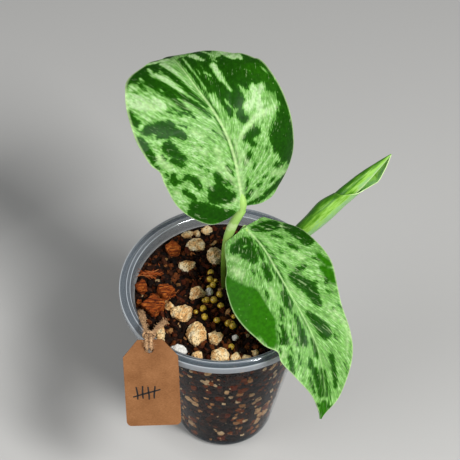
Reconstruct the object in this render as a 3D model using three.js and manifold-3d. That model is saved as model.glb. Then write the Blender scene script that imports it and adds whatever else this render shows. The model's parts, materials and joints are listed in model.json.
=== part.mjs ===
// A young variegated monstera in a clear plastic nursery cup: two open leaves and a new one
// still rolled up, in a chunky aroid mix, with a kraft paper tag tied on with jute twine.
// Millimetres, +Z up. The origin is the middle of the cup's base, on the surface that it
// stands on. The front is -Y, and the tag is at the front left.
import * as THREE from 'three';
import { mergeVertices } from 'three/addons/utils/BufferGeometryUtils.js';
import Module from 'manifold-3d';

const wasm = await Module();
wasm.setup();

// Clearance between pieces that touch on the real plant, and round a lump in its socket.
const GAP = 0.3;
const SOCKET_GAP = 0.38;

// The cup, thin-walled clear plastic with a turned-down rim.
const CUP_HEIGHT = 108;
const RIM_RADIUS = 52.5;
const FLANGE_WIDTH = 4.3;
const SKIRT_DROP = 4;
const WALL = 0.8;
const BAND_RADIUS = 46.4;
const BAND_FOOT = 99;
const CONE_TOP_RADIUS = 44.6;
const CONE_TOP = 98;
const SHOULDER_LIFT = 0.62;
const BASE_FLAT_RADIUS = 21.4;
const BASE_CORNER = 5;
const CONE_LEAN = THREE.MathUtils.degToRad(11);
const CUP_SIDES = 48;
const DRAIN_HOLES = 6;
const DRAIN_RADIUS = 2.4;
const DRAIN_CIRCLE = 14;

// The potting mix: its surface lies a little higher at the back.
const SOIL_LEVEL = 101;
const SOIL_SLOPE = 0.03;
const SOIL_RINGS = [41, 35, 29, 23, 17, 11, 5];

// The paper tag, its front turned up towards the viewer.
const TAG_WIDTH = 26.6;
const TAG_TOP_WIDTH = 12;
const TAG_ABOVE_HOLE = 4.8;
const TAG_SIDE_SHIFT = 0.4;
const TAG_SHOULDER = 4;
const TAG_BELOW_HOLE = 40.4;
const TAG_CORNER = 2.5;
const TAG_THICKNESS = 0.7;
const TAG_HOLE_RADIUS = 2.2;
const TAG_HOLE_AT = [-35.6, -45.7, 114.9];
const TAG_LEAN = THREE.MathUtils.degToRad(30);
const TAG_ROLL = THREE.MathUtils.degToRad(2);

// The jute twine.
const TWINE_DIAMETER = 1.6;
const TWINE_SIDES = 8;
const TWINE_STEPS = 80;

// Leaf blades.
const BLADE_THICKNESS = 0.8;
const BLADE_ROWS = 24;
const BLADE_COLUMNS = 5;
const PETIOLE_SIDES = 10;

const vector = (list) => new THREE.Vector3(...list);

// A closed solid for cutting and joining, from any closed geometry.
function solid(geometry) {
  const bare = geometry.clone();
  bare.deleteAttribute('normal');
  bare.deleteAttribute('uv');
  const merged = mergeVertices(bare, 1e-4);
  const corners = merged.index.array;
  const kept = [];
  for (let i = 0; i < corners.length; i += 3) {
    const [a, b, c] = [corners[i], corners[i + 1], corners[i + 2]];
    if (a !== b && b !== c && c !== a) kept.push(a, b, c);
  }
  return new wasm.Manifold(new wasm.Mesh({
    numProp: 3,
    vertProperties: new Float32Array(merged.attributes.position.array),
    triVerts: new Uint32Array(kept),
  }));
}

function geometryOf(body) {
  const mesh = body.getMesh();
  const geometry = new THREE.BufferGeometry();
  geometry.setAttribute('position', new THREE.BufferAttribute(mesh.vertProperties, 3));
  geometry.setIndex(new THREE.BufferAttribute(mesh.triVerts, 1));
  geometry.computeVertexNormals();
  return geometry;
}

// The value at f, 0 to 1, of an even row of values joined by straight lines.
function along(values, f) {
  const place = THREE.MathUtils.clamp(f, 0, 1) * (values.length - 1);
  const first = Math.min(Math.floor(place), values.length - 2);
  return THREE.MathUtils.lerp(values[first], values[first + 1], place - first);
}

// The cup's outer side, moved inwards by `inset`, from the middle of the base up to `top`.
function cupSide(inset, top) {
  const points = [new THREE.Vector2(0, inset)];
  const radius = BASE_CORNER - inset;
  const sweep = Math.PI / 2 - CONE_LEAN;
  for (let i = 0; i <= 3; i += 1) {
    const angle = (sweep * i) / 3;
    const r = BASE_FLAT_RADIUS + radius * Math.sin(angle);
    points.push(new THREE.Vector2(r, BASE_CORNER - radius * Math.cos(angle)));
  }
  const lift = SHOULDER_LIFT * inset;
  points.push(new THREE.Vector2(CONE_TOP_RADIUS - 0.9 * inset, CONE_TOP + lift));
  points.push(new THREE.Vector2(BAND_RADIUS - inset, BAND_FOOT + lift));
  points.push(new THREE.Vector2(BAND_RADIUS - inset, top));
  return points;
}

function lathe(profile) {
  const geometry = new THREE.LatheGeometry(profile, CUP_SIDES);
  geometry.rotateX(Math.PI / 2);
  return geometry;
}

function makeCup() {
  const top = CUP_HEIGHT;
  const under = top - WALL;
  const flangeInner = RIM_RADIUS - FLANGE_WIDTH;
  const rim = [
    [BAND_RADIUS + 0.5, under - 0.2],
    [RIM_RADIUS - WALL, under],
    [RIM_RADIUS - WALL, top - SKIRT_DROP],
    [RIM_RADIUS - 0.2, top - SKIRT_DROP],
    [RIM_RADIUS, top - SKIRT_DROP + 0.3],
    [RIM_RADIUS, top - 0.4],
    [RIM_RADIUS - 0.4, top],
    [flangeInner, top],
    [flangeInner - 1.1, top - 0.5],
    [flangeInner - 2.1, top - 1.5],
  ].map(([r, z]) => new THREE.Vector2(r, z));
  const outside = cupSide(0, under - 0.6);
  const inside = cupSide(WALL, top - 2.8).reverse();
  let cup = solid(lathe([...outside, ...rim, ...inside]));
  for (let i = 0; i < DRAIN_HOLES; i += 1) {
    const angle = (2 * Math.PI * (i + 0.5)) / DRAIN_HOLES;
    const drill = new THREE.CylinderGeometry(DRAIN_RADIUS, DRAIN_RADIUS, 4 * WALL, 16);
    drill.rotateX(Math.PI / 2);
    drill.translate(DRAIN_CIRCLE * Math.cos(angle), DRAIN_CIRCLE * Math.sin(angle), 0);
    cup = cup.subtract(solid(drill));
  }
  return geometryOf(cup);
}

// Height of the potting mix at a place, with crumbs that die out at the wall.
function soilHeight(x, y) {
  const wall = BAND_RADIUS - WALL - GAP;
  const fade = THREE.MathUtils.smoothstep(wall - Math.hypot(x, y), 0, 6);
  const swell = 0.7 * Math.sin(0.23 * x + 1.3) * Math.cos(0.19 * y - 0.6);
  const crumbs = 0.6 * Math.sin(0.61 * x - 0.37 * y) * Math.cos(0.53 * y + 0.29 * x + 0.8);
  return SOIL_LEVEL + SOIL_SLOPE * y + fade * (swell + crumbs);
}

// A lump of pumice, or a squarer chip of coconut husk, grown by `grow` to cut its socket.
function lumpGeometry(lump, grow) {
  const geometry = new THREE.IcosahedronGeometry(1, lump.detail);
  const place = geometry.attributes.position;
  const n = new THREE.Vector3();
  const [rx, ry, rz] = lump.size.map((side) => side / 2);
  for (let i = 0; i < place.count; i += 1) {
    n.fromBufferAttribute(place, i).normalize();
    const knobs = Math.sin(3.3 * n.x + lump.seed) * Math.cos(2.9 * n.y - 1.7 * lump.seed)
      + 0.6 * Math.sin(4.7 * n.z + 2.3 * lump.seed + 2.1 * n.x);
    const square = 0.86 * (n.x ** 4 + n.y ** 4 + n.z ** 4) ** -0.25;
    const reach = (lump.chip ? square : 1) * (1 + 0.09 * knobs);
    place.setXYZ(i, n.x * (rx * reach + grow), n.y * (ry * reach + grow), n.z * (rz * reach + grow));
  }
  geometry.rotateX(THREE.MathUtils.degToRad(lump.tilt));
  geometry.rotateZ(THREE.MathUtils.degToRad(lump.turn));
  return geometry;
}

// Each lump: node name, x, y, lift above the mix, size, turn and tilt in degrees, shape.
const PUMICE = 0;
const HUSK = 1;
const PERLITE = 2;
const LUMPS = [
  ['pumice_back_a', -8.8, 40.2, 1.2, [5.2, 5, 4.6], 0, 0, PUMICE, 1],
  ['pumice_back_b', -18.9, 37.0, 0.9, [6, 4.6, 4.4], 20, 0, PUMICE, 1],
  ['pumice_back_c', -13.9, 38.6, 0.6, [3.6, 3.4, 3.2], 0, 0, PUMICE, 1],
  ['pumice_back_large', -14.8, 29.6, 1.5, [11, 7.4, 6.4], 8, 0, PUMICE, 2],
  ['pumice_middle_long', -18.9, 16.4, 1.0, [9.6, 5.6, 5.2], 14, 0, PUMICE, 1],
  ['pumice_middle_round', -13.4, -1.4, 1.6, [7.5, 7.3, 6.8], 0, 0, PUMICE, 1],
  ['pumice_left_large', -20.3, -13.9, 1.9, [11, 9.2, 8], -12, 0, PUMICE, 2],
  ['pumice_left_behind', -27.4, -8.6, 0.2, [5, 5.4, 5], 0, 0, PUMICE, 1],
  ['pumice_front_large', -13.3, -26.6, 1.8, [9.4, 13, 8.6], 12, 0, PUMICE, 2],
  ['pumice_front_side', -4.3, -27.6, 1.0, [7.6, 6.8, 6], -20, 0, PUMICE, 1],
  ['pumice_rim_large', -1.6, -39.2, 1.0, [9.4, 7.6, 7], 10, 0, PUMICE, 2],
  ['pumice_rim_left', -12.6, -39.2, 0.4, [5.4, 5.6, 5], 0, 0, PUMICE, 1],
  ['pumice_rim_amber', 6.3, -39.9, 0.3, [5.2, 4.8, 4.4], 0, 0, PUMICE, 1],
  ['pumice_rim_small_a', 11.2, -40.4, 0.2, [4, 4, 3.8], 0, 0, PUMICE, 1],
  ['pumice_rim_small_b', 15.4, -37.3, 0.3, [4, 4.4, 3.8], 0, 0, PUMICE, 1],
  ['pumice_under_twine', -31.4, -26.4, 0.4, [5.6, 8.4, 6], 10, 0, PUMICE, 1],
  ['pumice_behind_stem', -4.6, 23.6, 0.0, [8.4, 9.4, 7], 0, 0, PUMICE, 1],
  ['perlite_middle', -7.2, 0.2, 0.7, [3.6, 3.6, 3.4], 0, 0, PERLITE, 1],
  ['perlite_front', 5.8, -28.8, 0.6, [3, 3, 2.8], 0, 0, PERLITE, 1],
  ['perlite_rim', -21.9, -35.4, 0.9, [7, 5.4, 5], -18, 0, PERLITE, 1],
  ['husk_rim', -41.6, 2.6, 0.8, [6.4, 7.4, 6.4], 4, 0, HUSK, 1],
  ['husk_large', -35.6, -9.2, 1.4, [11.2, 9.4, 8.4], -38, 8, HUSK, 2],
  ['husk_inner', -29.4, -0.7, 1.6, [8.6, 8.0, 7.6], -38, -8, HUSK, 1],
  ['husk_rim_small', -42.2, -6.4, 0.2, [3.2, 4, 3.4], 0, 0, HUSK, 1],
  ['husk_back', -26.1, 27.4, 0.8, [7.4, 8.4, 6.6], 15, 0, HUSK, 1],
].map(([name, x, y, lift, size, turn, tilt, kind, detail], i) => ({
  name, size, turn, tilt, kind, detail,
  chip: kind === HUSK,
  seed: 1 + 1.37 * i,
  at: [x, y, soilHeight(x, y) + lift],
}));

// Fertiliser prills, round balls that stay part of the mix's own surface.
const PRILL_RADIUS = 1.75;
const PRILLS = [
  [-6.5, 12.5], [-6.9, 7.9], [-5.4, 4.4], [-2.0, -1.4], [-8.5, -4.9], [-4.9, -5.3], [-1.4, -8.1],
  [-10.2, -10.6], [-3.3, -17.9], [2.2, -19], [4.6, -21.6], [3.9, -33.6], [-9.4, -15.8],
];

// The stem's short stock with its roots, grown by `grow` to cut the room that it fills.
const STOCK_AT = [3.3, 5.4];
const STOCK_TOP = 102.7;
const ROOTS = [
  [[2, 3, 95], [-6, -4, 88], [-14, -12, 76], [-17, -20, 60]],
  [[6, 4, 94], [15, -2, 86], [22, -10, 74], [22, -18, 58]],
  [[4, 8, 93], [8, 18, 82], [9, 24, 66], [4, 26, 48]],
  [[1, 7, 94], [-9, 13, 86], [-18, 17, 72], [-20, 14, 54]],
  [[4, 5, 91], [5, 3, 76], [2, -2, 58], [3, 0, 36]],
];
function stockSolid(grow) {
  const half = [5.4 + grow, 5.4 + grow];
  const outline = [[0, 88 - grow], [0.6, 88.6 - grow], [0.95, 91], [1, 97], [0.9, STOCK_TOP + grow],
    [0, STOCK_TOP + grow]];
  const profile = outline.map(([r, z]) => new THREE.Vector2(r, z));
  const stock = new THREE.LatheGeometry(profile, 12);
  stock.rotateX(Math.PI / 2);
  stock.scale(half[0], half[1], 1);
  stock.translate(STOCK_AT[0], STOCK_AT[1], 0);
  let body = solid(stock);
  for (const root of ROOTS) {
    const end = vector(root[3]);
    const beyond = end.clone().sub(vector(root[2])).setLength(1.5 * grow).add(end);
    const way = [...root.slice(0, 3), beyond.toArray()];
    body = body.add(solid(rod(way, [1.5 + grow, 1.2 + grow, 0.8 + grow], 6, 6)));
  }
  return body;
}

// A round rod along a smooth curve, with the radii given evenly from its start to its end.
function rod(points, radii, sides, steps) {
  const curve = new THREE.CatmullRomCurve3(points.map(vector));
  const frames = curve.computeFrenetFrames(steps);
  const geometry = new THREE.CylinderGeometry(1, 1, 1, sides, steps);
  const place = geometry.attributes.position;
  const p = new THREE.Vector3();
  for (let i = 0; i < place.count; i += 1) {
    const f = place.getY(i) + 0.5;
    const row = Math.round(f * steps);
    const r = along(radii, f);
    curve.getPointAt(f, p);
    p.addScaledVector(frames.normals[row], r * place.getX(i));
    p.addScaledVector(frames.binormals[row], -r * place.getZ(i));
    place.setXYZ(i, p.x, p.y, p.z);
  }
  geometry.computeVertexNormals();
  return geometry;
}

// The leaf stalks, from the stock up to the blades.
const UPPER_PETIOLE = [[0.9, 3.4, 103.2], [0.6, 3.1, 115], [0.9, 2.8, 128], [2.0, 2.9, 139.5],
  [3.6, 3.1, 146.5], [5.9, 3.7, 153], [8.0, 4.5, 157], [8.9, 5.0, 158.7]];
const LOWER_PETIOLE = [[5.1, 4.7, 103.3], [6.2, 5.6, 118], [8.0, 6.2, 133], [9.8, 5.8, 142.2],
  [10.9, 4.4, 145.8]];

// The new leaf: its own stalk, and the blade still rolled up in a scroll that ends in a point.
const NEW_LEAF = [[6.4, 9.3, 104.6], [17.5, 10.9, 112.6], [28.5, 12.7, 121.8],
  [40.2, 14.8, 133.3], [53.5, 17.2, 148.7], [66.8, 19.6, 164.1], [80.1, 22, 179.4]];
const NEW_LEAF_SIDES = 14;
const NEW_LEAF_STEPS = 24;
const NEW_LEAF_RADII = [2.1, 2.0, 2.0, 2.2, 3.2, 4.0, 4.2, 4.2, 4.1, 4.2, 4.4, 3.4, 0.4];
const SCROLL_STEP = 0.16;

function makeNewLeaf() {
  const curve = new THREE.CatmullRomCurve3(NEW_LEAF.map(vector));
  const geometry = new THREE.CylinderGeometry(1, 1, 1, NEW_LEAF_SIDES, NEW_LEAF_STEPS);
  const place = geometry.attributes.position;
  const frames = curve.computeFrenetFrames(NEW_LEAF_STEPS);
  const p = new THREE.Vector3();
  for (let i = 0; i < place.count; i += 1) {
    const f = place.getY(i) + 0.5;
    const row = Math.round(f * NEW_LEAF_STEPS);
    const hub = Math.hypot(place.getX(i), place.getZ(i));
    const around = (Math.atan2(place.getX(i), place.getZ(i)) / (2 * Math.PI) + 1) % 1;
    const sector = Math.round(around * NEW_LEAF_SIDES) % NEW_LEAF_SIDES;
    const angle = (sector / (NEW_LEAF_SIDES - 1)) * THREE.MathUtils.degToRad(348);
    const scroll = f > 0.3 ? SCROLL_STEP * (1 - sector / (NEW_LEAF_SIDES - 1)) : 0;
    const r = hub * along(NEW_LEAF_RADII, f) * (1 + scroll);
    const turn = angle + 1.1;
    curve.getPointAt(f, p);
    p.addScaledVector(frames.normals[row], r * Math.sin(turn));
    p.addScaledVector(frames.binormals[row], -r * Math.cos(turn));
    place.setXYZ(i, p.x, p.y, p.z);
  }
  geometry.computeVertexNormals();
  return geometry;
}

// Each blade: its midrib in space, the way its right half points, how the section rolls,
// folds (degrees) and bends down (per mm) from base to tip, and its outline laid flat, where
// each point is the distance from the midrib and the distance along it from the stalk.
const UPPER_BLADE = {
  midrib: [[9.4, 5.4, 162.3], [7.6, 9.0, 174.2], [5.3, 14.1, 185.4], [1.3, 20.3, 195.5],
    [-4.9, 27.6, 203.7], [-12.1, 36.3, 208.9], [-18.6, 46.8, 210.5], [-23.9, 57.7, 207.5],
    [-29.4, 66.0, 200.1]],
  sideways: [1, 0, 0],
  roll: [-6.9, -2.5, 9.9],
  fold: { left: [23.5, 10.5, -1.6], right: [-14.4, 7.8, 9.8] },
  bend: { left: [0.0138, 0.0001, 0.005], right: [0.0235, 0.0206, 0.0113] },
  left: [[0.6, -0.8], [10.1, -4.5], [20.4, -3.2], [33.0, 12.0], [39.3, 49.4], [36.4, 64.7],
    [27.9, 79.0], [11.1, 91.2], [3.4, 97.8], [0.4, 100.2]],
  right: [[0.6, -0.8], [11.0, -3.2], [20.2, -1.1], [32.0, 12.4], [35.1, 49.4], [33.5, 64.7],
    [26.5, 79.0], [11.3, 91.2], [3.4, 97.8], [0.4, 100.2]],
};
const LOWER_BLADE = {
  midrib: [[11.0, 2.0, 148.5], [18.8, -8.1, 146.9], [25.2, -18.4, 142.5], [31.5, -28.4, 137.2],
    [37.9, -38.0, 131.3], [43.5, -47.2, 124.2], [47.0, -55.8, 115.3], [48.2, -64.3, 105.6],
    [46.4, -73.9, 97.3]],
  sideways: [-0.87, -0.5, 0],
  roll: [-0.3, -18.8, 2.5],
  fold: { left: [-9.4, 4.9, 9.4], right: [-24.1, 6.4, 21.6] },
  bend: { left: [0.0179, 0.009, 0.0125], right: [0.0197, 0.01, 0.024] },
  left: [[0.6, -0.8], [8.0, -1.4], [14.5, -1.0], [25.1, 12.4], [26.4, 33.2], [19.0, 54.3],
    [16.1, 74.0], [8.4, 90.9], [2.2, 100.0], [0.4, 103.3]],
  right: [[0.6, -0.8], [8.2, -1.4], [13.8, -1.0], [22.8, 12.4], [28.2, 33.2], [23.7, 54.3],
    [17.4, 74.0], [8.0, 90.9], [2.2, 100.0], [0.4, 103.3]],
};

// Where the vein that ends at u of the outline, 0 to 1, leaves the midrib, as a share of it.
function veinStart(u) {
  const fan = 0.03 * u;
  return fan + 0.97 * Math.max(0, (u - 0.27) / 0.73) ** 1.25;
}

// A blade: a sheet of constant thickness whose rows follow the side veins.
function makeBlade(blade) {
  const midrib = new THREE.CatmullRomCurve3(blade.midrib.map(vector));
  const length = midrib.getLength();
  const outline = {
    left: new THREE.SplineCurve(blade.left.map(([x, y]) => new THREE.Vector2(x, y))),
    right: new THREE.SplineCurve(blade.right.map(([x, y]) => new THREE.Vector2(x, y))),
  };
  const across = vector(blade.sideways).normalize();

  // The point of the bent blade over the flat place (x, y), `lift` above its middle surface.
  function bladePoint(x, y, lift) {
    const f = THREE.MathUtils.clamp(y / length, 0, 1);
    const half = x < 0 ? 'left' : 'right';
    const p = midrib.getPointAt(f);
    const ahead = midrib.getTangentAt(f);
    p.addScaledVector(ahead, y - f * length);
    const level = across.clone().addScaledVector(ahead, -across.dot(ahead)).normalize();
    const raised = level.clone().cross(ahead);
    const roll = THREE.MathUtils.degToRad(along(blade.roll, f));
    const side = level.multiplyScalar(Math.cos(roll)).addScaledVector(raised, Math.sin(roll));
    const up = side.clone().cross(ahead);
    const fold = THREE.MathUtils.degToRad(along(blade.fold[half], f));
    const bend = along(blade.bend[half], f);
    const slope = fold - bend * Math.abs(x);
    const out = Math.sign(x) * (Math.sin(fold) - Math.sin(slope)) / bend;
    p.addScaledVector(side, out);
    p.addScaledVector(up, (Math.cos(slope) - Math.cos(fold)) / bend);
    const tilt = x === 0 ? 0 : slope;
    p.addScaledVector(up, lift * Math.cos(tilt));
    p.addScaledVector(side, -Math.sign(x) * lift * Math.sin(tilt));
    return p;
  }

  const columns = 2 * BLADE_COLUMNS + 1;
  const places = [];
  for (const lift of [BLADE_THICKNESS / 2, -BLADE_THICKNESS / 2]) {
    for (let row = 0; row <= BLADE_ROWS; row += 1) {
      const u = row / BLADE_ROWS;
      const start = length * veinStart(u);
      for (let column = -BLADE_COLUMNS; column <= BLADE_COLUMNS; column += 1) {
        const v = Math.abs(column) / BLADE_COLUMNS;
        const edge = outline[column < 0 ? 'left' : 'right'].getPoint(u);
        const x = Math.sign(column) * v * edge.x;
        places.push(...bladePoint(x, start + v * (edge.y - start), lift).toArray());
      }
    }
  }
  const corners = [];
  const under = columns * (BLADE_ROWS + 1);
  const at = (row, column) => row * columns + column;
  for (let row = 0; row < BLADE_ROWS; row += 1) {
    for (let column = 0; column + 1 < columns; column += 1) {
      const [a, b] = [at(row, column), at(row, column + 1)];
      const [c, d] = [at(row + 1, column + 1), at(row + 1, column)];
      corners.push(a, b, c, a, c, d);
      corners.push(a + under, c + under, b + under, a + under, d + under, c + under);
    }
  }
  const edge = [];
  for (let column = 0; column < columns - 1; column += 1) edge.push(at(0, column));
  for (let row = 0; row < BLADE_ROWS; row += 1) edge.push(at(row, columns - 1));
  for (let column = columns - 1; column > 0; column -= 1) edge.push(at(BLADE_ROWS, column));
  for (let row = BLADE_ROWS; row > 0; row -= 1) edge.push(at(row, 0));
  edge.forEach((from, i) => {
    const to = edge[(i + 1) % edge.length];
    corners.push(from, from + under, to + under, from, to + under, to);
  });
  const geometry = new THREE.BufferGeometry();
  geometry.setAttribute('position', new THREE.Float32BufferAttribute(places, 3));
  geometry.setIndex(corners);
  geometry.computeVertexNormals();
  return geometry;
}

// The tag as cut, with its hole at the origin and its front face on z = 0.
function makeTag() {
  const left = TAG_SIDE_SHIFT - TAG_WIDTH / 2;
  const right = TAG_SIDE_SHIFT + TAG_WIDTH / 2;
  const foot = -TAG_BELOW_HOLE;
  const shape = new THREE.Shape();
  shape.moveTo(TAG_SIDE_SHIFT - TAG_TOP_WIDTH / 2, TAG_ABOVE_HOLE);
  shape.lineTo(left, -TAG_SHOULDER);
  shape.lineTo(left, foot + TAG_CORNER);
  shape.absarc(left + TAG_CORNER, foot + TAG_CORNER, TAG_CORNER, Math.PI, 1.5 * Math.PI, false);
  shape.absarc(right - TAG_CORNER, foot + TAG_CORNER, TAG_CORNER, 1.5 * Math.PI, 0, false);
  shape.lineTo(right, -TAG_SHOULDER);
  shape.lineTo(TAG_SIDE_SHIFT + TAG_TOP_WIDTH / 2, TAG_ABOVE_HOLE);
  shape.closePath();
  const hole = new THREE.Path();
  hole.absarc(0, 0, TAG_HOLE_RADIUS, 0, 2 * Math.PI, true);
  shape.holes.push(hole);
  const settings = { depth: TAG_THICKNESS, bevelEnabled: false, curveSegments: 6 };
  const geometry = new THREE.ExtrudeGeometry(shape, settings);
  geometry.translate(0, 0, -TAG_THICKNESS);
  return geometry;
}

const TAG_TURN = new THREE.Euler(Math.PI / 2 - TAG_LEAN, 0, TAG_ROLL);

// A place on the tag, right, up and out from the front of its hole, in the part's frame.
function onTag([right, up, out]) {
  return vector([right, up, out]).applyEuler(TAG_TURN).add(vector(TAG_HOLE_AT));
}

// The twine is one strand: out of the mix, over the tag's top edge, down through the hole,
// round a small loop behind it, and back the same way to the mix.
const TWINE_LEFT = [[-40.6, -10.9, 98.2], [-41.3, -12.5, 101.2], [-41.2, -15.2, 103.8],
  [-40.0, -20.4, 107.0], [-39.1, -26.6, 110.2], [-37.9, -33.2, 114.4]];
const TWINE_RIGHT = [[-33.5, -34.2, 114.4], [-32.0, -28.6, 109.9], [-30.6, -23.4, 105.6],
  [-29.5, -19.6, 102.6], [-29.1, -18.2, 100.2], [-29.0, -17.6, 97.2]];
const TWINE_HITCH = [
  [-0.95, 5.8, -3.5], [-1.0, 6.2, -1.8], [-1.05, 6.1, -0.3], [-1.1, 5.3, 0.9], [-1.1, 4.1, 1.25],
  [-1.05, 2.7, 1.35], [-0.98, 1.4, 1.2], [-0.98, 0.5, 0.4], [-0.98, 0.1, -0.7],
  [-1.2, -0.4, -1.8], [-1.8, -1.7, -2.3], [-2.0, -3.1, -2.4], [-1.4, -4.6, -2.4],
];
const TWINE_WRAP_AT = [0, 5.8, -3.4];

function makeTwine() {
  const mirrored = [...TWINE_HITCH].reverse().map(([right, up, out]) => [-right, up, out]);
  const hitch = [...TWINE_HITCH, [0, -5.2, -2.4], ...mirrored].map(onTag);
  const route = [...TWINE_LEFT.map(vector), ...hitch, ...TWINE_RIGHT.map(vector)];
  const section = new THREE.Shape();
  section.absarc(0, 0, TWINE_DIAMETER / 2, 0, 2 * Math.PI, false);
  return new THREE.ExtrudeGeometry(section, {
    steps: TWINE_STEPS,
    curveSegments: TWINE_SIDES / 2,
    bevelEnabled: false,
    extrudePath: new THREE.CatmullRomCurve3(route),
  });
}

// The turn of twine that binds both strands behind the tag's top edge.
function makeTwineWrap() {
  const wrap = new THREE.TorusGeometry(2.72, 0.65, 8, 18);
  wrap.scale(1, 0.64, 1);
  return wrap;
}

// A short straight hole in the mix where an end of the twine is pushed in.
function twineHole(from, to) {
  const radius = TWINE_DIAMETER / 2 + 2 * GAP;
  return solid(rod([from, to], [radius, radius], 8, 2));
}

function makePottingMix() {
  const inset = WALL + GAP;
  const profile = cupSide(inset, SOIL_LEVEL);
  for (const r of SOIL_RINGS) profile.push(new THREE.Vector2(r, SOIL_LEVEL));
  profile.push(new THREE.Vector2(0, SOIL_LEVEL));
  const geometry = lathe(profile);
  const place = geometry.attributes.position;
  for (let i = 0; i < place.count; i += 1) {
    if (place.getZ(i) < SOIL_LEVEL - 0.01) continue;
    place.setZ(i, soilHeight(place.getX(i), place.getY(i)));
  }
  let mix = solid(geometry);
  for (const [x, y] of PRILLS) {
    const prill = new THREE.IcosahedronGeometry(PRILL_RADIUS, 0);
    prill.translate(x, y, soilHeight(x, y) + 0.5);
    mix = mix.add(solid(prill));
  }
  for (const lump of LUMPS) {
    const socket = lumpGeometry(lump, SOCKET_GAP);
    socket.translate(...lump.at);
    mix = mix.subtract(solid(socket));
  }
  mix = mix.subtract(stockSolid(GAP));
  mix = mix.subtract(twineHole([-40.2, -10.2, 97.2], [-41.6, -13.4, 103]));
  mix = mix.subtract(twineHole([-29.0, -17.5, 96.4], [-29.3, -19.2, 103]));
  return geometryOf(mix);
}

const FINISH = {
  clear_plastic: { color: 0xb9c4cb, roughness: 0.12, metalness: 0, transparent: true, opacity: 0.4 },
  mix: { color: 0x2a1a12, roughness: 0.95, metalness: 0 },
  pumice: { color: 0xcfae7c, roughness: 0.92, metalness: 0 },
  husk: { color: 0x8a4526, roughness: 0.95, metalness: 0 },
  perlite: { color: 0xdedcd6, roughness: 0.9, metalness: 0 },
  stock: { color: 0x6f7a35, roughness: 0.7, metalness: 0 },
  stalk: { color: 0x8fbf3a, roughness: 0.45, metalness: 0 },
  blade: { color: 0x4f9a3c, roughness: 0.4, metalness: 0 },
  new_leaf: { color: 0x86c440, roughness: 0.4, metalness: 0 },
  kraft: { color: 0xb07f57, roughness: 0.9, metalness: 0 },
  jute: { color: 0xb58a5e, roughness: 0.95, metalness: 0 },
};

function piece(name, geometry, finish) {
  const mesh = new THREE.Mesh(geometry, new THREE.MeshStandardMaterial(FINISH[finish]));
  mesh.name = name;
  return mesh;
}

const plant = new THREE.Group();
plant.add(piece('stem_and_roots', geometryOf(stockSolid(0)), 'stock'));
plant.add(piece('petiole_upper', rod(UPPER_PETIOLE, [2.0, 2.0, 2.1, 2.4, 2.3], PETIOLE_SIDES, 16), 'stalk'));
plant.add(piece('petiole_lower', rod(LOWER_PETIOLE, [2.1, 2.0, 1.8, 1.7], PETIOLE_SIDES, 14), 'stalk'));
plant.add(piece('leaf_new_rolled', makeNewLeaf(), 'new_leaf'));
plant.add(piece('leaf_upper', makeBlade(UPPER_BLADE), 'blade'));
plant.add(piece('leaf_lower', makeBlade(LOWER_BLADE), 'blade'));

const potting = new THREE.Group();
potting.add(piece('pot', makeCup(), 'clear_plastic'));
potting.add(piece('potting_mix', makePottingMix(), 'mix'));
for (const lump of LUMPS) {
  const finish = ['pumice', 'husk', 'perlite'][lump.kind];
  const stone = piece(lump.name, lumpGeometry(lump, 0), finish);
  stone.position.set(...lump.at);
  potting.add(stone);
}

const label = new THREE.Group();
const tag = piece('label_tag', makeTag(), 'kraft');
tag.position.set(...TAG_HOLE_AT);
tag.rotation.copy(TAG_TURN);
label.add(tag);
label.add(piece('tag_twine', makeTwine(), 'jute'));
const wrap = piece('twine_wrap', makeTwineWrap(), 'jute');
wrap.position.copy(onTag(TWINE_WRAP_AT));
wrap.rotation.set(THREE.MathUtils.degToRad(56), 0, 0);
label.add(wrap);

const group = new THREE.Group();
group.add(potting, plant, label);
export default group;
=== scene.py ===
# A young variegated monstera in a clear nursery cup, with a kraft paper tag on jute twine.
# Metres, in the frame of the solid model: the origin is the middle of the cup's base, the
# front is -Y, and +X is to the right as the camera sees it.
import json
import math
import random

import bpy
import numpy as np
from mathutils import Euler, Matrix, Vector, noise

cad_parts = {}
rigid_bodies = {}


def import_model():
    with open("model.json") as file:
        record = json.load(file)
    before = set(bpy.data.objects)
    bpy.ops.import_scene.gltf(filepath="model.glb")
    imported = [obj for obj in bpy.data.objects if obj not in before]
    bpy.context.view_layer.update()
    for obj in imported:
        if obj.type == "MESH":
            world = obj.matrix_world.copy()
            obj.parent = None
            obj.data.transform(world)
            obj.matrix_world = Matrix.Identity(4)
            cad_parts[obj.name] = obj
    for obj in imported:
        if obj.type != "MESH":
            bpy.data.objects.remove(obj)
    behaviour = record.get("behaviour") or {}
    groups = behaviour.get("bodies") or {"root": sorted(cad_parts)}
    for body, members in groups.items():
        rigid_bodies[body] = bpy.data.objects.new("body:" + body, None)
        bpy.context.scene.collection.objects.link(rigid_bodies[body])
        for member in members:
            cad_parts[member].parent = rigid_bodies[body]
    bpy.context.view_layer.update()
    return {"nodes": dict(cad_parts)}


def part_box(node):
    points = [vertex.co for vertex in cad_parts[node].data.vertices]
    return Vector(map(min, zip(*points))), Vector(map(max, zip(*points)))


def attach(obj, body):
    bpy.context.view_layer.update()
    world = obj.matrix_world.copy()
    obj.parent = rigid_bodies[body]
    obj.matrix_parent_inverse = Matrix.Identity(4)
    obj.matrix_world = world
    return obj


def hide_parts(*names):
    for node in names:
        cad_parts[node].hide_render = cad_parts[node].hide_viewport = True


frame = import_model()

MM = 0.001


def new_object(name, data):
    made = bpy.data.objects.new(name, data)
    bpy.context.scene.collection.objects.link(made)
    return made


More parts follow.
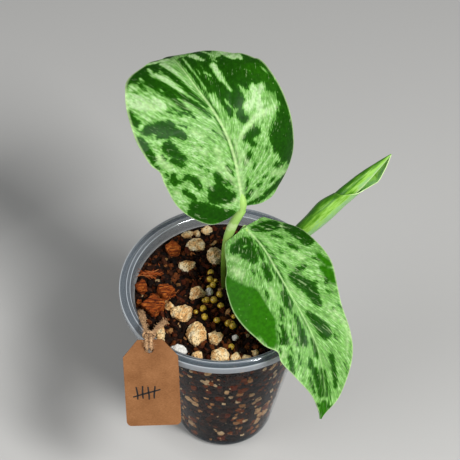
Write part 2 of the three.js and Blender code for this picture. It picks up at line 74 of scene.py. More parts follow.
# Camera: square to the front and well above the plant
VIEW_DOWN = math.radians(49.1)
VIEW_DISTANCE = 800
VIEW_CENTRE = (3.2, 0, 149.6)
VIEW_LENS = 129.76
bpy.context.scene.view_settings.view_transform = "Standard"
camera_data = bpy.data.cameras.new("camera")
camera_data.lens = VIEW_LENS
camera_data.sensor_width = 36
camera_data.clip_end = 20
camera = new_object("camera", camera_data)
camera.location = (
    VIEW_CENTRE[0] * MM,
    -VIEW_DISTANCE * math.cos(VIEW_DOWN) * MM,
    (VIEW_CENTRE[2] + VIEW_DISTANCE * math.sin(VIEW_DOWN)) * MM,
)
camera.rotation_euler = (math.pi / 2 - VIEW_DOWN, 0, 0)
bpy.context.scene.camera = camera


# Working by hand: selection, finishing and small helpers

def deselect():
    if bpy.context.object and bpy.context.object.mode != "OBJECT":
        bpy.ops.object.mode_set(mode="OBJECT")
    bpy.ops.object.select_all(action="DESELECT")


def hold(piece):
    deselect()
    piece.select_set(True)
    bpy.context.view_layer.objects.active = piece


def edit_all():
    """Goes into edit mode with all of the piece in hand selected."""
    bpy.ops.object.mode_set(mode="EDIT")
    bpy.ops.mesh.select_all(action="SELECT")


def settle(piece, name, materials, smooth=None):
    """Names a finished piece, puts its place in its mesh and fixes it to the model."""
    hold(piece)
    bpy.ops.object.transform_apply(location=True, rotation=True, scale=True)
    piece.name = name
    piece.data.name = name
    piece.data.materials.clear()
    for material in materials:
        piece.data.materials.append(material)
    if smooth is not None:
        bpy.ops.object.shade_smooth_by_angle(angle=math.radians(smooth))
    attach(piece, "root")
    deselect()
    return piece


def smooth_path(points, per=12):
    """Points close together on a smooth curve through the given ones."""
    ways = [np.array(p, float) for p in points]
    ways = [2 * ways[0] - ways[1]] + ways + [2 * ways[-1] - ways[-2]]
    out = []
    for i in range(1, len(ways) - 2):
        a, b, c, d = ways[i - 1:i + 3]
        ab, bc, cd = (max(np.linalg.norm(q - p) ** 0.5, 1e-6) for p, q in ((a, b), (b, c), (c, d)))
        leave = ((b - a) / ab - (c - a) / (ab + bc) + (c - b) / bc) * bc
        arrive = ((c - b) / bc - (d - b) / (bc + cd) + (d - c) / cd) * bc
        last = i == len(ways) - 3
        for k in range(per + last):
            t = k / per
            bend = -3 * b + 3 * c - 2 * leave - arrive
            out.append(b + leave * t + bend * t * t + (2 * b - 2 * c + leave + arrive) * t ** 3)
    return np.array(out)


def evenly(path, count):
    """count points at equal distances along a path, with the direction at each."""
    steps = np.linalg.norm(np.diff(path, axis=0), axis=1)
    reach = np.concatenate([[0], np.cumsum(steps)])
    at = np.linspace(0, reach[-1], count)
    points = np.stack([np.interp(at, reach, path[:, k]) for k in range(3)], 1)
    ahead = np.gradient(points, axis=0)
    ahead /= np.linalg.norm(ahead, axis=1)[:, None]
    return points, ahead, reach[-1]


def frames_along(ahead, start):
    """Two directions square to the way at each point, carried along without twisting."""
    sides = []
    side = np.array(start, float)
    for way in ahead:
        side = side - way * side.dot(way)
        side /= np.linalg.norm(side)
        sides.append(side.copy())
    sides = np.array(sides)
    return sides, np.cross(ahead, sides)


def part_way(count, share):
    """The last of count rows that a share of the way has passed, and how far on towards the next
    one it is, 0 to 1."""
    row = share * (count - 1)
    low = np.clip(row.astype(int), 0, count - 2)
    return low, (row - low)[:, None]


# Twine: one strand of three-ply jute, from the mix up over the tag's top edge, through its
# hole, round a small loop behind it and back to the mix. The route is the solid model's.
TAG_HOLE_AT = np.array([-35.6, -45.7, 114.9])
TAG_LEAN = math.radians(30)
TAG_ROLL = math.radians(2)
TWINE_LEFT = [(-40.6, -10.9, 98.2), (-41.3, -12.5, 101.2), (-41.2, -15.2, 103.8),
              (-40.0, -20.4, 107.0), (-39.1, -26.6, 110.2), (-37.9, -33.2, 114.4)]
TWINE_RIGHT = [(-33.5, -34.2, 114.4), (-32.0, -28.6, 109.9), (-30.6, -23.4, 105.6),
               (-29.5, -19.6, 102.6), (-29.1, -18.2, 100.2), (-29.0, -17.6, 97.2)]
TWINE_HITCH = [(-0.95, 5.8, -3.5), (-1.0, 6.2, -1.8), (-1.05, 6.1, -0.3), (-1.1, 5.3, 0.9),
               (-1.1, 4.1, 1.25), (-1.05, 2.7, 1.35), (-0.98, 1.4, 1.2), (-0.98, 0.5, 0.4),
               (-0.98, 0.1, -0.7), (-1.2, -0.4, -1.8), (-1.8, -1.7, -2.3), (-2.0, -3.1, -2.4),
               (-1.4, -4.6, -2.4)]


def on_tag(right, up, out):
    """A place on the tag, from the front of its hole, in millimetres."""
    across = right * math.cos(TAG_ROLL) - up * math.sin(TAG_ROLL)
    along = right * math.sin(TAG_ROLL) + up * math.cos(TAG_ROLL)
    lean, stand = math.sin(TAG_LEAN), math.cos(TAG_LEAN)
    return TAG_HOLE_AT + np.array([across, along * lean - out * stand, along * stand + out * lean])


hitch = [on_tag(*p) for p in TWINE_HITCH] + [on_tag(0, -5.2, -2.4)]
hitch += [on_tag(-right, up, out) for right, up, out in reversed(TWINE_HITCH)]
twine_route = [*TWINE_LEFT, *hitch, *TWINE_RIGHT]


def grid_sheet(across, along):
    """A fresh flat grid, and the place of each of its points across and along, 0 to 1."""
    deselect()
    bpy.ops.mesh.primitive_grid_add(x_subdivisions=across, y_subdivisions=along, size=1)
    piece = bpy.context.object
    flat = np.empty(len(piece.data.vertices) * 3)
    piece.data.vertices.foreach_get("co", flat)
    flat = flat.reshape(-1, 3)
    return piece, flat[:, 0] + 0.5, flat[:, 1] + 0.5


def shape_to(piece, places):
    """Moves the points of a piece to places given in millimetres."""
    piece.data.vertices.foreach_set("co", (np.asarray(places) * MM).ravel())
    piece.data.update()


def points_of(piece):
    """The places of a piece's points, in millimetres."""
    flat = np.empty(len(piece.data.vertices) * 3)
    piece.data.vertices.foreach_get("co", flat)
    return flat.reshape(-1, 3) / MM


def mark(piece, name, values):
    """Keeps one number or three for each point, for the material to read."""
    values = np.asarray(values, float)
    kind = "FLOAT" if values.ndim == 1 else "FLOAT_VECTOR"
    layer = piece.data.attributes.new(name, kind, "POINT")
    layer.data.foreach_set("value" if values.ndim == 1 else "vector", values.ravel())


SEAM_GAP = 0.02


def seal(piece):
    """Joins the seam of a rolled grid, closes its ends and points its faces outwards."""
    hold(piece)
    edit_all()
    bpy.ops.mesh.remove_doubles(threshold=SEAM_GAP * MM)
    bpy.ops.mesh.fill_holes(sides=0)
    bpy.ops.mesh.select_all(action="SELECT")
    bpy.ops.mesh.normals_make_consistent(inside=False)
    bpy.ops.object.mode_set(mode="OBJECT")
    return piece


def thicken(piece, thick, other_side=0):
    """Gives a sheet its thickness in millimetres, centred on it. The face and rim that this adds
    take the material that comes other_side after the first face's."""
    hold(piece)
    skin = piece.modifiers.new("thickness", "SOLIDIFY")
    skin.thickness = thick * MM
    skin.offset = 0
    skin.material_offset = other_side
    skin.material_offset_rim = other_side
    bpy.ops.object.modifier_apply(modifier=skin.name)


def rod(points, section, around, along, start=(1, 0, 0)):
    """A sealed rod rolled from a grid. section(share, angle, length) gives its two half-widths."""
    places, ahead, length = evenly(smooth_path(points), 400)
    sides, ups = frames_along(ahead, start)
    piece, s, t = grid_sheet(around, along)
    angle = 2 * math.pi * s
    wide, thin = section(t, angle, length)
    low, on = part_way(len(places), t)
    middle, side, up = (rows[low] * (1 - on) + rows[low + 1] * on for rows in (places, sides, ups))
    middle = middle + side * (wide * np.cos(angle))[:, None] + up * (thin * np.sin(angle))[:, None]
    shape_to(piece, middle)
    return seal(piece)


# The strand in millimetres: its half-width, that of its binding turn, the length of one turn of
# its plies, and where from each end it is pressed flattest, how far that reaches and how much
# wider it gets
STRAND_HALF = 0.84
WRAP_HALF = 0.62
JUTE_LAY = 6.6
FLATTEST_AT = 10
FLAT_REACH = 13
FLAT_SPREAD = 1.05


def twine_section(t, angle, length):
    """Tails unlaid and pressed flat, the hitch round, three plies twisted together."""
    tail = np.minimum(t, 1 - t) * length
    flat = np.clip(1 - np.abs(tail - FLATTEST_AT) / FLAT_REACH, 0, 1) ** 0.7
    twist = angle - 2 * math.pi * t * length / JUTE_LAY
    ply = 0.72 + 0.28 * np.abs(np.cos(1.5 * twist)) ** 0.7
    shred = 1 + 0.18 * flat * np.sin(7 * angle + 0.9 * t * length)
    wide, thin = STRAND_HALF + FLAT_SPREAD * flat, STRAND_HALF + 0.1 * flat
    return wide * ply * shred, thin * ply * shred


twine = rod(twine_route, twine_section, 24, 420)
twine_line, _, twine_length = evenly(smooth_path(twine_route), 200)


# Materials: every colour is an sRGB hex value, turned to linear by one function. Patterns are
# scaled by their real size: PER_MM / 2.5 is a pattern about 2.5 mm across.
PER_MM = 1000
# A Mix node that blends colours: its inputs, its output and its settings
SHARE, FIRST, SECOND, MIXED = 0, 6, 7, 2
COLOURS = {"data_type": "RGBA"}
MULTIPLIED = {"data_type": "RGBA", "blend_type": "MULTIPLY"}
# Most of a noise lies between these values
NOISE_SPAN = {"From Min": 0.3, "From Max": 0.7}


def rgb(code):
    parts = [int(code[i:i + 2], 16) / 255 for i in (1, 3, 5)]
    linear = [p / 12.92 if p <= 0.04045 else ((p + 0.055) / 1.055) ** 2.4 for p in parts]
    return (*linear, 1)


def add(tree, kind, inputs=None, stops=(), **settings):
    """Adds a node with its settings. An input is a value, the socket that it is joined to, or a
    node, whose first output it is joined to."""
    made = tree.nodes.new("ShaderNode" + kind)
    for name, value in settings.items():
        setattr(made, name, value)
    for number, (place, code) in enumerate(stops):
        ramp = made.color_ramp.elements
        stop = ramp[number] if number < 2 else ramp.new(place)
        stop.position = place
        stop.color = rgb(code)
    for name, value in (inputs or {}).items():
        if isinstance(value, bpy.types.Node):
            value = value.outputs[0]
        if isinstance(value, bpy.types.NodeSocket):
            tree.links.new(value, made.inputs[name])
        else:
            made.inputs[name].default_value = value
    return made


def material_tree(name):
    material = bpy.data.materials.new(name)
    material.use_nodes = True
    material.node_tree.nodes.clear()
    return material, material.node_tree


def finish_material(tree, shader):
    add(tree, "OutputMaterial", {"Surface": shader})


def clear_cup_plastic():
    """Clear polypropylene, thermoformed: glossy and clear against the mix, greyer where it is
    seen edge on, at its foot and above the mix, and in the rolled rim, whose folds are denser
    and carry thin near white lines painted in as highlights."""
    rim_from, rim_to = 46.6, 52.6
    mix_from, mix_to = 99.5 * MM, 102.5 * MM
    foot_from, foot_to = 0.8 * MM, 4 * MM
    material, tree = material_tree("clear_polypropylene")
    place = add(tree, "TexCoord").outputs["Object"]
    ripple = add(tree, "TexNoise", {"Vector": place, "Scale": PER_MM / 14, "Detail": 2})
    bump = add(tree, "Bump", {"Height": ripple, "Strength": 0.2, "Distance": 0.3 * MM})
    facing = add(tree, "LayerWeight", {"Blend": 0.5, "Normal": bump}).outputs["Facing"]
    flat = add(tree, "Mapping", {"Vector": place, "Scale": (PER_MM, PER_MM, 0)})
    radius = add(tree, "VectorMath", {0: flat}, operation="LENGTH").outputs["Value"]
    across = add(tree, "MapRange", {"Value": radius, "From Min": rim_from, "From Max": rim_to})
    # The rim's fold lines: denser plastic there, and where the painted highlight lines lie
    fold_lines_and_highlights = add(tree, "ValToRGB", {"Fac": across}, [
        (0.0, "#000000"), (0.05, "#e7e7e7"), (0.12, "#8c8c8c"), (0.3, "#8c8c8c"), (0.36, "#e7e7e7"),
        (0.42, "#8c8c8c"), (0.85, "#8c8c8c"), (0.93, "#e7e7e7"), (1.0, "#bcbcbc")])
    side = add(tree, "Math", {0: facing, 1: 6}, operation="POWER")
    height = add(tree, "SeparateXYZ", {"Vector": place}).outputs["Z"]
    above_mix = add(tree, "MapRange", {"Value": height, "From Min": mix_from, "From Max": mix_to,
                                       "To Max": 0.5})
    foot = add(tree, "MapRange", {"Value": height, "From Min": foot_from, "From Max": foot_to,
                                  "To Min": 0.75, "To Max": 0.0})
    ends = add(tree, "Math", {0: foot, 1: above_mix}, operation="MAXIMUM")
    dense = add(tree, "Math", {0: fold_lines_and_highlights, 1: ends}, operation="MAXIMUM")
    milk = add(tree, "Math", {0: side, 1: 0.3, 2: dense}, operation="MULTIPLY_ADD")
    # Body colour: dark blue grey, going near white along the fold lines as painted highlights
    grey_and_painted_highlights = add(tree, "ValToRGB", {"Fac": fold_lines_and_highlights}, [(0.1, "#48515b"), (0.35, "#727d88"), (0.8, "#dfe5ea")])
    body = add(tree, "BsdfPrincipled", {
        "Base Color": grey_and_painted_highlights, "Roughness": 0.2, "IOR": 1.49, "Alpha": milk, "Normal": bump})
    gloss = add(tree, "BsdfGlossy", {"Color": rgb("#f2f5f8"), "Roughness": 0.08, "Normal": bump})
    shine = add(tree, "MapRange", {"Value": fold_lines_and_highlights, "To Min": 0.001, "To Max": 0.12})
    mirror = add(tree, "Math", {0: side, 1: 0.18, 2: shine}, operation="MULTIPLY_ADD")
    finish_material(tree, add(tree, "MixShader", {0: mirror, 1: body, 2: gloss}))
    return material


def rough_stuff(name, stops, grain, bump_size, bump_deep, roughness=0.9, tint=None, pit_shade_tone=0.5):
    """A matt mineral or bark body: blotches of a few colours, and a grain that shows as bump,
    whose hollows are darkened as painted shade."""
    material, tree = material_tree(name)
    place = add(tree, "TexCoord").outputs["Object"]
    blotch = add(tree, "TexNoise", {"Vector": place, "Scale": PER_MM / grain, "Detail": 5,
                                    "Roughness": 0.6})
    colour = add(tree, "ValToRGB", {"Fac": blotch}, stops)
    if tint:
        own = add(tree, "Attribute", attribute_name=tint)
        colour = add(tree, "Mix", {SHARE: 1.0, FIRST: colour, SECOND: own}, **MULTIPLIED).outputs[MIXED]
    pits = add(tree, "TexVoronoi", {"Vector": place, "Scale": PER_MM / bump_size, "Randomness": 1})
    fine = add(tree, "TexNoise", {"Vector": place, "Scale": PER_MM / (0.6 * bump_size), "Detail": 3})
    relief = add(tree, "Math", {0: pits, 1: fine}, operation="ADD")
    bump = add(tree, "Bump", {"Height": relief, "Strength": 0.8, "Distance": bump_deep * MM})
    # Painted shade: the hollows of the grain are darkened, down to the pit tone
    hollow_shade_and_mottle = add(tree, "MapRange", {"Value": relief, "From Min": 0.55, "From Max": 0.95,
                                    "To Min": pit_shade_tone})
    shaded = add(tree, "Mix", {SHARE: 1.0, FIRST: colour, SECOND: hollow_shade_and_mottle}, **MULTIPLIED)
    finish_material(tree, add(tree, "BsdfPrincipled", {
        "Base Color": shaded.outputs[MIXED], "Roughness": roughness, "Normal": bump,
        "Specular IOR Level": 0.15}))
    return material


def husk_chip():
    """Coconut husk chip, cut and dried: brick brown, with pale and dark fibres on the slant."""
    material, tree = material_tree("coconut_husk_chip")
    place = add(tree, "TexCoord").outputs["Object"]
    slant = add(tree, "Mapping", {"Vector": place, "Rotation": (0.3, 0.2, -0.8), "Scale": (0.14, 1, 1)})
    fibre = add(tree, "TexNoise", {"Vector": slant, "Scale": PER_MM / 0.9, "Detail": 5,
                                   "Roughness": 0.7})
    colour = add(tree, "ValToRGB", {"Fac": fibre}, [
        (0.36, "#240c04"), (0.45, "#6b2c0c"), (0.55, "#a04a12"), (0.66, "#d08238")])
    bump = add(tree, "Bump", {"Height": fibre, "Strength": 1.0, "Distance": 1.2 * MM})
    finish_material(tree, add(tree, "BsdfPrincipled", {
        "Base Color": colour, "Roughness": 0.85, "Normal": bump, "Specular IOR Level": 0.2}))
    return material


def side_streaks(tree):
    """The place along the side veins that a blade's points carry, and how far the tissue there
    is streaked towards green, about -0.5 to 0.5."""
    vein = add(tree, "Attribute", attribute_name="vein").outputs["Vector"]
    drawn = add(tree, "Mapping", {"Vector": vein, "Scale": (0.55, 0.19, 1)})
    streak = add(tree, "TexNoise", {"Vector": drawn, "Scale": 1, "Detail": 4, "Roughness": 0.62})
    return vein, add(tree, "MapRange", {**NOISE_SPAN, "Value": streak, "To Min": -0.5, "To Max": 0.5})


def leaf_top():
    """The upper face of a variegated blade: waxy, crisp dark, green and mint tissue in streaks
    that follow the side veins. The points carry where the leaf is green, how pale its pale
    parts are, where it is plain green, and its midrib and margin."""
    material, tree = material_tree("variegated_leaf_upper_face")
    green, cream, plain, rib = (add(tree, "Attribute", attribute_name=name).outputs["Fac"]
                                for name in ("green", "cream", "plain", "rib"))
    vein, wave = side_streaks(tree)
    place = add(tree, "TexCoord").outputs["Object"]
    fine_way = add(tree, "Mapping", {"Vector": vein, "Scale": (1.5, 0.8, 1)})
    fleck = add(tree, "TexNoise", {"Vector": fine_way, "Scale": 1, "Detail": 4})
    speck = add(tree, "TexVoronoi", {"Vector": place, "Scale": PER_MM / 4.4})
    ripple = add(tree, "MapRange", {**NOISE_SPAN, "Value": fleck, "To Min": -0.4, "To Max": 0.4})
    greener = add(tree, "Math", {0: green, 1: wave}, operation="ADD")
    greener = add(tree, "Math", {0: greener, 1: ripple}, operation="ADD")
    level = add(tree, "MapRange", {"Value": greener, "From Min": -1, "From Max": 1})
    tissue = add(tree, "ValToRGB", {"Fac": level}, [
        (0.0, "#b4d79a"), (0.13, "#98c87c"), (0.25, "#80b55e"), (0.36, "#6da54c"), (0.45, "#57903a"),
        (0.49, "#3f7d22"), (0.5, "#2c6a10"), (0.54, "#225806"), (0.75, "#1c5004"), (1.0, "#184804")])
    paler = add(tree, "Math", {0: cream, 1: wave}, operation="ADD")
    paler = add(tree, "Math", {0: ripple, 1: 0.6, 2: paler}, operation="MULTIPLY_ADD")
    pale = add(tree, "MapRange", {"Value": paler, "From Min": -0.05, "From Max": 0.5, "To Max": 0.85})
    dots = add(tree, "MapRange", {"Value": speck, "From Min": 0.09, "From Max": 0.05, "To Max": 0.3})
    colour = tissue
    for share, code in ((pale, "#b9dc97"), (plain, "#2b6c05"), (dots, "#a9d27f"), (rib, "#c4e39e")):
        colour = add(tree, "Mix", {SHARE: share, FIRST: colour, SECOND: rgb(code)},
                     **COLOURS).outputs[MIXED]
    cells = add(tree, "TexNoise", {"Vector": place, "Scale": PER_MM / 0.7, "Detail": 2})
    mottle = add(tree, "TexNoise", {"Vector": place, "Scale": PER_MM / 1.6, "Detail": 3})
    shade = add(tree, "MapRange", {"Value": mottle, "From Min": 0.35, "From Max": 0.65,
                                   "To Min": 0.82, "To Max": 1.16})
    mottled = add(tree, "Mix", {SHARE: 1.0, FIRST: colour, SECOND: shade}, **MULTIPLIED)
    bump = add(tree, "Bump", {"Height": cells, "Strength": 0.25, "Distance": 0.12 * MM})
    finish_material(tree, add(tree, "BsdfPrincipled", {
        "Base Color": mottled.outputs[MIXED], "Roughness": 0.42, "Normal": bump, "IOR": 1.42,
        "Specular IOR Level": 0.1}))
    return material


def leaf_under():
    """The lower face: the same tissue through a matt, paler skin."""
    material, tree = material_tree("variegated_leaf_lower_face")
    green = add(tree, "Attribute", attribute_name="green").outputs["Fac"]
    _, wave = side_streaks(tree)
    greener = add(tree, "Math", {0: green, 1: wave}, operation="ADD")
    level = add(tree, "MapRange", {"Value": greener, "From Min": -1, "From Max": 1})
    tissue = add(tree, "ValToRGB", {"Fac": level}, [
        (0.0, "#b9d9a0"), (0.45, "#9cc77c"), (0.5, "#7fae62"), (0.56, "#6d9f52"), (1.0, "#5f9247")])
    finish_material(tree, add(tree, "BsdfPrincipled", {"Base Color": tissue, "Roughness": 0.6}))
    return material


def leaf_stalk_skin():
    """The skin of stalks and midribs: smooth and faintly glossy, dark olive at the foot and paling
    upwards, by the share of the way up that each point carries. The dark foot is partly the
    stalk's own colour and partly painted shade under the leaves."""
    material, tree = material_tree("leaf_stalk_skin")
    place = add(tree, "TexCoord").outputs["Object"]
    height = add(tree, "Attribute", attribute_name="share").outputs["Fac"]
    mottle = add(tree, "TexNoise", {"Vector": place, "Scale": PER_MM / 2.2, "Detail": 3})
    shift = add(tree, "MapRange", {"Value": mottle, "To Min": -0.07, "To Max": 0.07})
    at = add(tree, "Math", {0: height, 1: shift}, operation="ADD")
    # Dark olive low down: partly the stalks' own colour, partly painted shade under the leaves
    colour = add(tree, "ValToRGB", {"Fac": at}, [
        (0.0, "#33480d"), (0.3, "#4c6f17"), (0.52, "#7cad3c"), (0.8, "#a4d266"), (0.86, "#cfeaa0"),
        (0.9, "#a8d56a"), (1.0, "#b2dd74")])
    bump = add(tree, "Bump", {"Height": mottle, "Strength": 0.2, "Distance": 0.2 * MM})
    finish_material(tree, add(tree, "BsdfPrincipled", {
        "Base Color": colour, "Roughness": 0.4, "Normal": bump, "Coat Weight": 0.15,
        "Coat Roughness": 0.25}))
    return material


def rolled_leaf_skin():
    """The outside of the new leaf, its lower face: tender, glossy, streaked along its length,
    green on its left side and paling to cream on its right, partly its own colour and partly
    painted light and shade, with a pale margin that is partly a painted highlight."""
    material, tree = material_tree("new_leaf_lower_face")
    way = add(tree, "Attribute", attribute_name="share").outputs["Fac"]
    edge = add(tree, "Attribute", attribute_name="edge").outputs["Fac"]
    vein = add(tree, "Attribute", attribute_name="vein").outputs["Vector"]
    drawn = add(tree, "Mapping", {"Vector": vein, "Scale": (0.9, 0.1, 1)})
    streak = add(tree, "TexNoise", {"Vector": drawn, "Scale": 1, "Detail": 4, "Roughness": 0.6})
    shift = add(tree, "MapRange", {**NOISE_SPAN, "Value": streak, "To Min": -0.3, "To Max": 0.3})
    at = add(tree, "Math", {0: way, 1: shift}, operation="ADD")
    # Dark to pale by the share each point carries: partly the leaf's own colour, partly painted light and
    # shade
    colour = add(tree, "ValToRGB", {"Fac": at}, [
        (0.0, "#35720a"), (0.25, "#4f8e14"), (0.5, "#86c03e"), (0.66, "#a4d862"), (0.85, "#92c878"),
        (1.0, "#9fce8a")])
    # The pale margin, partly a painted highlight along the free edge
    margin = add(tree, "Mix", {SHARE: edge, FIRST: colour, SECOND: rgb("#dcf5b0")}, **COLOURS)
    bump = add(tree, "Bump", {"Height": streak, "Strength": 0.25, "Distance": 0.3 * MM})
    finish_material(tree, add(tree, "BsdfPrincipled", {
        "Base Color": margin.outputs[MIXED], "Roughness": 0.35, "Normal": bump,
        "Specular IOR Level": 0.35}))
    return material


def kraft_card():
    """Unbleached kraft card: warm brown, matt, with short darker and paler fibres."""
    material, tree = material_tree("kraft_card")
    place = add(tree, "TexCoord").outputs["Object"]
    along = add(tree, "Mapping", {"Vector": place, "Scale": (1, 4, 4)})
    fibre = add(tree, "TexNoise", {"Vector": along, "Scale": PER_MM / 1.1, "Detail": 4,
                                   "Roughness": 0.75})
    cloud = add(tree, "TexNoise", {"Vector": place, "Scale": PER_MM / 9, "Detail": 2})
    colour = add(tree, "ValToRGB", {"Fac": fibre}, [
        (0.3, "#835431"), (0.46, "#98673f"), (0.6, "#a37046"), (0.75, "#b68660")])
    tone = add(tree, "ValToRGB", {"Fac": cloud}, [(0.3, "#e2dcd4"), (0.7, "#ffffff")])
    card = add(tree, "Mix", {SHARE: 1.0, FIRST: colour, SECOND: tone}, **MULTIPLIED)
    bump = add(tree, "Bump", {"Height": fibre, "Strength": 0.4, "Distance": 0.1 * MM})
    finish_material(tree, add(tree, "BsdfPrincipled", {
        "Base Color": card.outputs[MIXED], "Roughness": 0.85, "Normal": bump,
        "Specular IOR Level": 0.25}))
    return material


def plain_skin(name, code, roughness, coat=0.0, grain=1.1, hollow_shade_and_mottle="#a8a29a"):
    """One colour with a mottle of its grain, in millimetres, for small things."""
    material, tree = material_tree(name)
    place = add(tree, "TexCoord").outputs["Object"]
    mottle = add(tree, "TexNoise", {"Vector": place, "Scale": PER_MM / grain, "Detail": 3})
    # The mottle's dark end: for the jute, painted shade between the fibres
    tone = add(tree, "ValToRGB", {"Fac": mottle}, [(0.35, hollow_shade_and_mottle), (0.6, "#ffffff")])
    colour = add(tree, "Mix", {SHARE: 1.0, FIRST: rgb(code), SECOND: tone}, **MULTIPLIED)
    finish_material(tree, add(tree, "BsdfPrincipled", {
        "Base Color": colour.outputs[MIXED], "Roughness": roughness, "Coat Weight": coat,
        "Coat Roughness": 0.15}))
    return material


clear_plastic = clear_cup_plastic()
# Peat and bark, sieved and kept damp: nearly black, with a few rust brown bits
peat = rough_stuff("damp_peat_and_bark", [
    (0.3, "#080402"), (0.5, "#190d06"), (0.6, "#3c1d0c"), (0.74, "#8a481c")], 3, 1.2, 0.8, roughness=0.7)
# Pine bark, milled: dull crumbs, each of one brown of its own
bark = rough_stuff("milled_bark_crumb", [(0.3, "#b9a08c"), (0.7, "#ffffff")], 1.5, 0.8, 0.4,
                   roughness=0.8, tint="tint")
# Pumice, crushed and stained by iron: warm cream and ochre, its pits darkened by painted shade
pumice = rough_stuff("iron_stained_pumice", [
    (0.3, "#a9733a"), (0.42, "#eab676"), (0.52, "#fadaa2"), (0.68, "#fff0cc")], 4, 1.0, 0.9, pit_shade_tone=0.3)
husk = husk_chip()
# Perlite, blown up by heat: chalk white, with shallow pits lightly darkened by painted shade
white_perlite = rough_stuff("expanded_perlite", [(0.3, "#dedad0"), (0.6, "#fbf8f0")], 1.5, 0.6, 0.3,
                            pit_shade_tone=0.75)
# Jute, spun: straw coloured and dull, with a fine darker mottle painted in as shade between the fibres
jute = plain_skin("jute_twine", "#dab083", 0.9, grain=0.6, hollow_shade_and_mottle="#7d6a56")
# Fertiliser, coated in resin: yellow balls with a small sharp highlight
amber = plain_skin("fertiliser_prill_resin", "#f4cb42", 0.28, coat=0.6)
# Ink, drawn with a felt pen: near black and matt
ink = plain_skin("felt_pen_ink", "#1d1a19", 0.6)
kraft = kraft_card()
blade_top = leaf_top()
blade_under = leaf_under()
stalk_skin = leaf_stalk_skin()
roll_skin = rolled_leaf_skin()
# The stem's base, grown corky: dull olive
stock_skin = rough_stuff("stem_base_skin", [(0.3, "#4a4a1c"), (0.7, "#8a8c3c")], 3, 1.2, 0.3,
                         roughness=0.6)


def scatter(models, spots):
    """One piece from copies of models, which then go. A spot is (model, place, turn matrix, size,
    tint)."""
    shapes = []
    for model in models:
        corners = np.array([v.co for v in model.data.vertices])
        shapes.append((corners, [list(f.vertices) for f in model.data.polygons]))
    points, faces, tints = [], [], []
    count = 0
    for which, place, turn, size, tint in spots:
        corners, sides = shapes[which]
        placed = (corners * np.array(size)) @ np.array(turn).T + np.array(place)
        points.append(placed)
        faces += [[i + count for i in side] for side in sides]
        tints += [tint] * len(corners)
        count += len(corners)
    mesh = bpy.data.meshes.new("scattered")
    mesh.from_pydata((np.concatenate(points) * MM).tolist(), [], faces)
    piece = new_object("scattered", mesh)
    mark(piece, "tint", tints)
    for model in models:
        bpy.data.objects.remove(model)
    return piece


# Twine and its wrap
settle(twine, "twine", [jute], smooth=60)
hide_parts("tag_twine")


# The binding turns: their middle on the tag, their number, the ring's half-width, its height as
# a share of that, how it climbs with the angle, and how far it is tipped
WRAP_AT = (0, 5.8, -3.4)
WRAP_TURNS = 1.3
WRAP_RADIUS = 2.72
WRAP_OVAL = 0.64
WRAP_CLIMB = 0.16
WRAP_TIP = math.radians(56)
TWINE_HAIRS = 700
HAIR_LENGTHS = (0.9, 2.2)
TWINE_ENDS_BARE = 6


def wrap_section(t, angle, length):
    twist = angle - 2 * math.pi * t * length / JUTE_LAY
    ply = WRAP_HALF * (0.8 + 0.2 * np.abs(np.cos(1.5 * twist)) ** 0.6)
    return ply, ply


def wrap_point(turn):
    """The binding turns: an oval ring, tipped to stand square to the strands."""
    right = WRAP_RADIUS * math.cos(turn)
    up = WRAP_OVAL * WRAP_RADIUS * math.sin(turn)
    along = WRAP_CLIMB * (turn - WRAP_TURNS * math.pi)
    return on_tag(*WRAP_AT) + np.array([
        right,
        up * math.cos(WRAP_TIP) - along * math.sin(WRAP_TIP),
        up * math.sin(WRAP_TIP) + along * math.cos(WRAP_TIP),
    ])


wrap_route = [wrap_point(turn) for turn in np.linspace(0, 2 * WRAP_TURNS * math.pi, 16)]
wrap = rod(wrap_route, wrap_section, 16, 120, (0, 0, 1))
settle(wrap, "twine_wrap_turns", [jute], smooth=60)
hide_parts("twine_wrap")


def twine_fuzz():
    """Loose fibre ends that stand off the strand."""
    draw = random.Random(41)
    deselect()
    bpy.ops.mesh.primitive_cone_add(vertices=4, radius1=0.16, radius2=0.05, depth=1, end_fill_type="NGON")
    model = bpy.context.object
    spots = []
    for _ in range(TWINE_HAIRS):
        place = twine_line[draw.randrange(TWINE_ENDS_BARE, len(twine_line) - TWINE_ENDS_BARE)]
        way = Vector([draw.gauss(0, 1) for _ in range(3)]).normalized()
        long = draw.uniform(*HAIR_LENGTHS)
        middle = np.array(place) + np.array(way) * (0.5 + long / 2)
        spots.append((0, middle, way.to_track_quat("Z", "Y").to_matrix(), (1, 1, long), (1, 1, 1)))
    return scatter([model], spots)


fuzz = settle(twine_fuzz(), "twine_fuzz", [jute])


# The cup: its section drawn as a ring of points, spun round the axis, then the drain holes
WALL = 0.8
CUP_SIDES = 120
BASE_FLAT = 21.4
BASE_CORNER = 5
CONE_LEAN = math.radians(11)
DRAIN_HOLES = 6
DRAIN_RADIUS = 2.4
DRAIN_RING = 14


def cup_side(inset, top):
    """The cup's outer side moved inwards, from the middle of the base up to a height."""
    side = [(0, inset)]
    radius = BASE_CORNER - inset
    for k in range(7):
        angle = (math.pi / 2 - CONE_LEAN) * k / 6
        side.append((BASE_FLAT + radius * math.sin(angle), BASE_CORNER - radius * math.cos(angle)))
    lift = 0.62 * inset
    return side + [(44.6 - 0.9 * inset, 98 + lift), (45.9 - inset, 98.5 + lift),
                   (46.4 - inset, 99.2 + lift), (46.4 - inset, top)]


CUP_RIM = [(46.9, 107.0), (51.4, 107.2), (51.7, 106.9), (51.7, 104.0), (52.3, 104.0), (52.5, 104.3),
           (52.5, 107.5), (52.35, 107.9), (51.9, 108.0), (51.3, 107.9), (50.9, 107.55), (50.3, 107.4),
           (49.5, 107.45), (49.0, 107.85), (48.5, 108.0), (47.9, 107.9), (47.3, 107.5), (46.5, 106.9),
           (46.2, 106.2)]


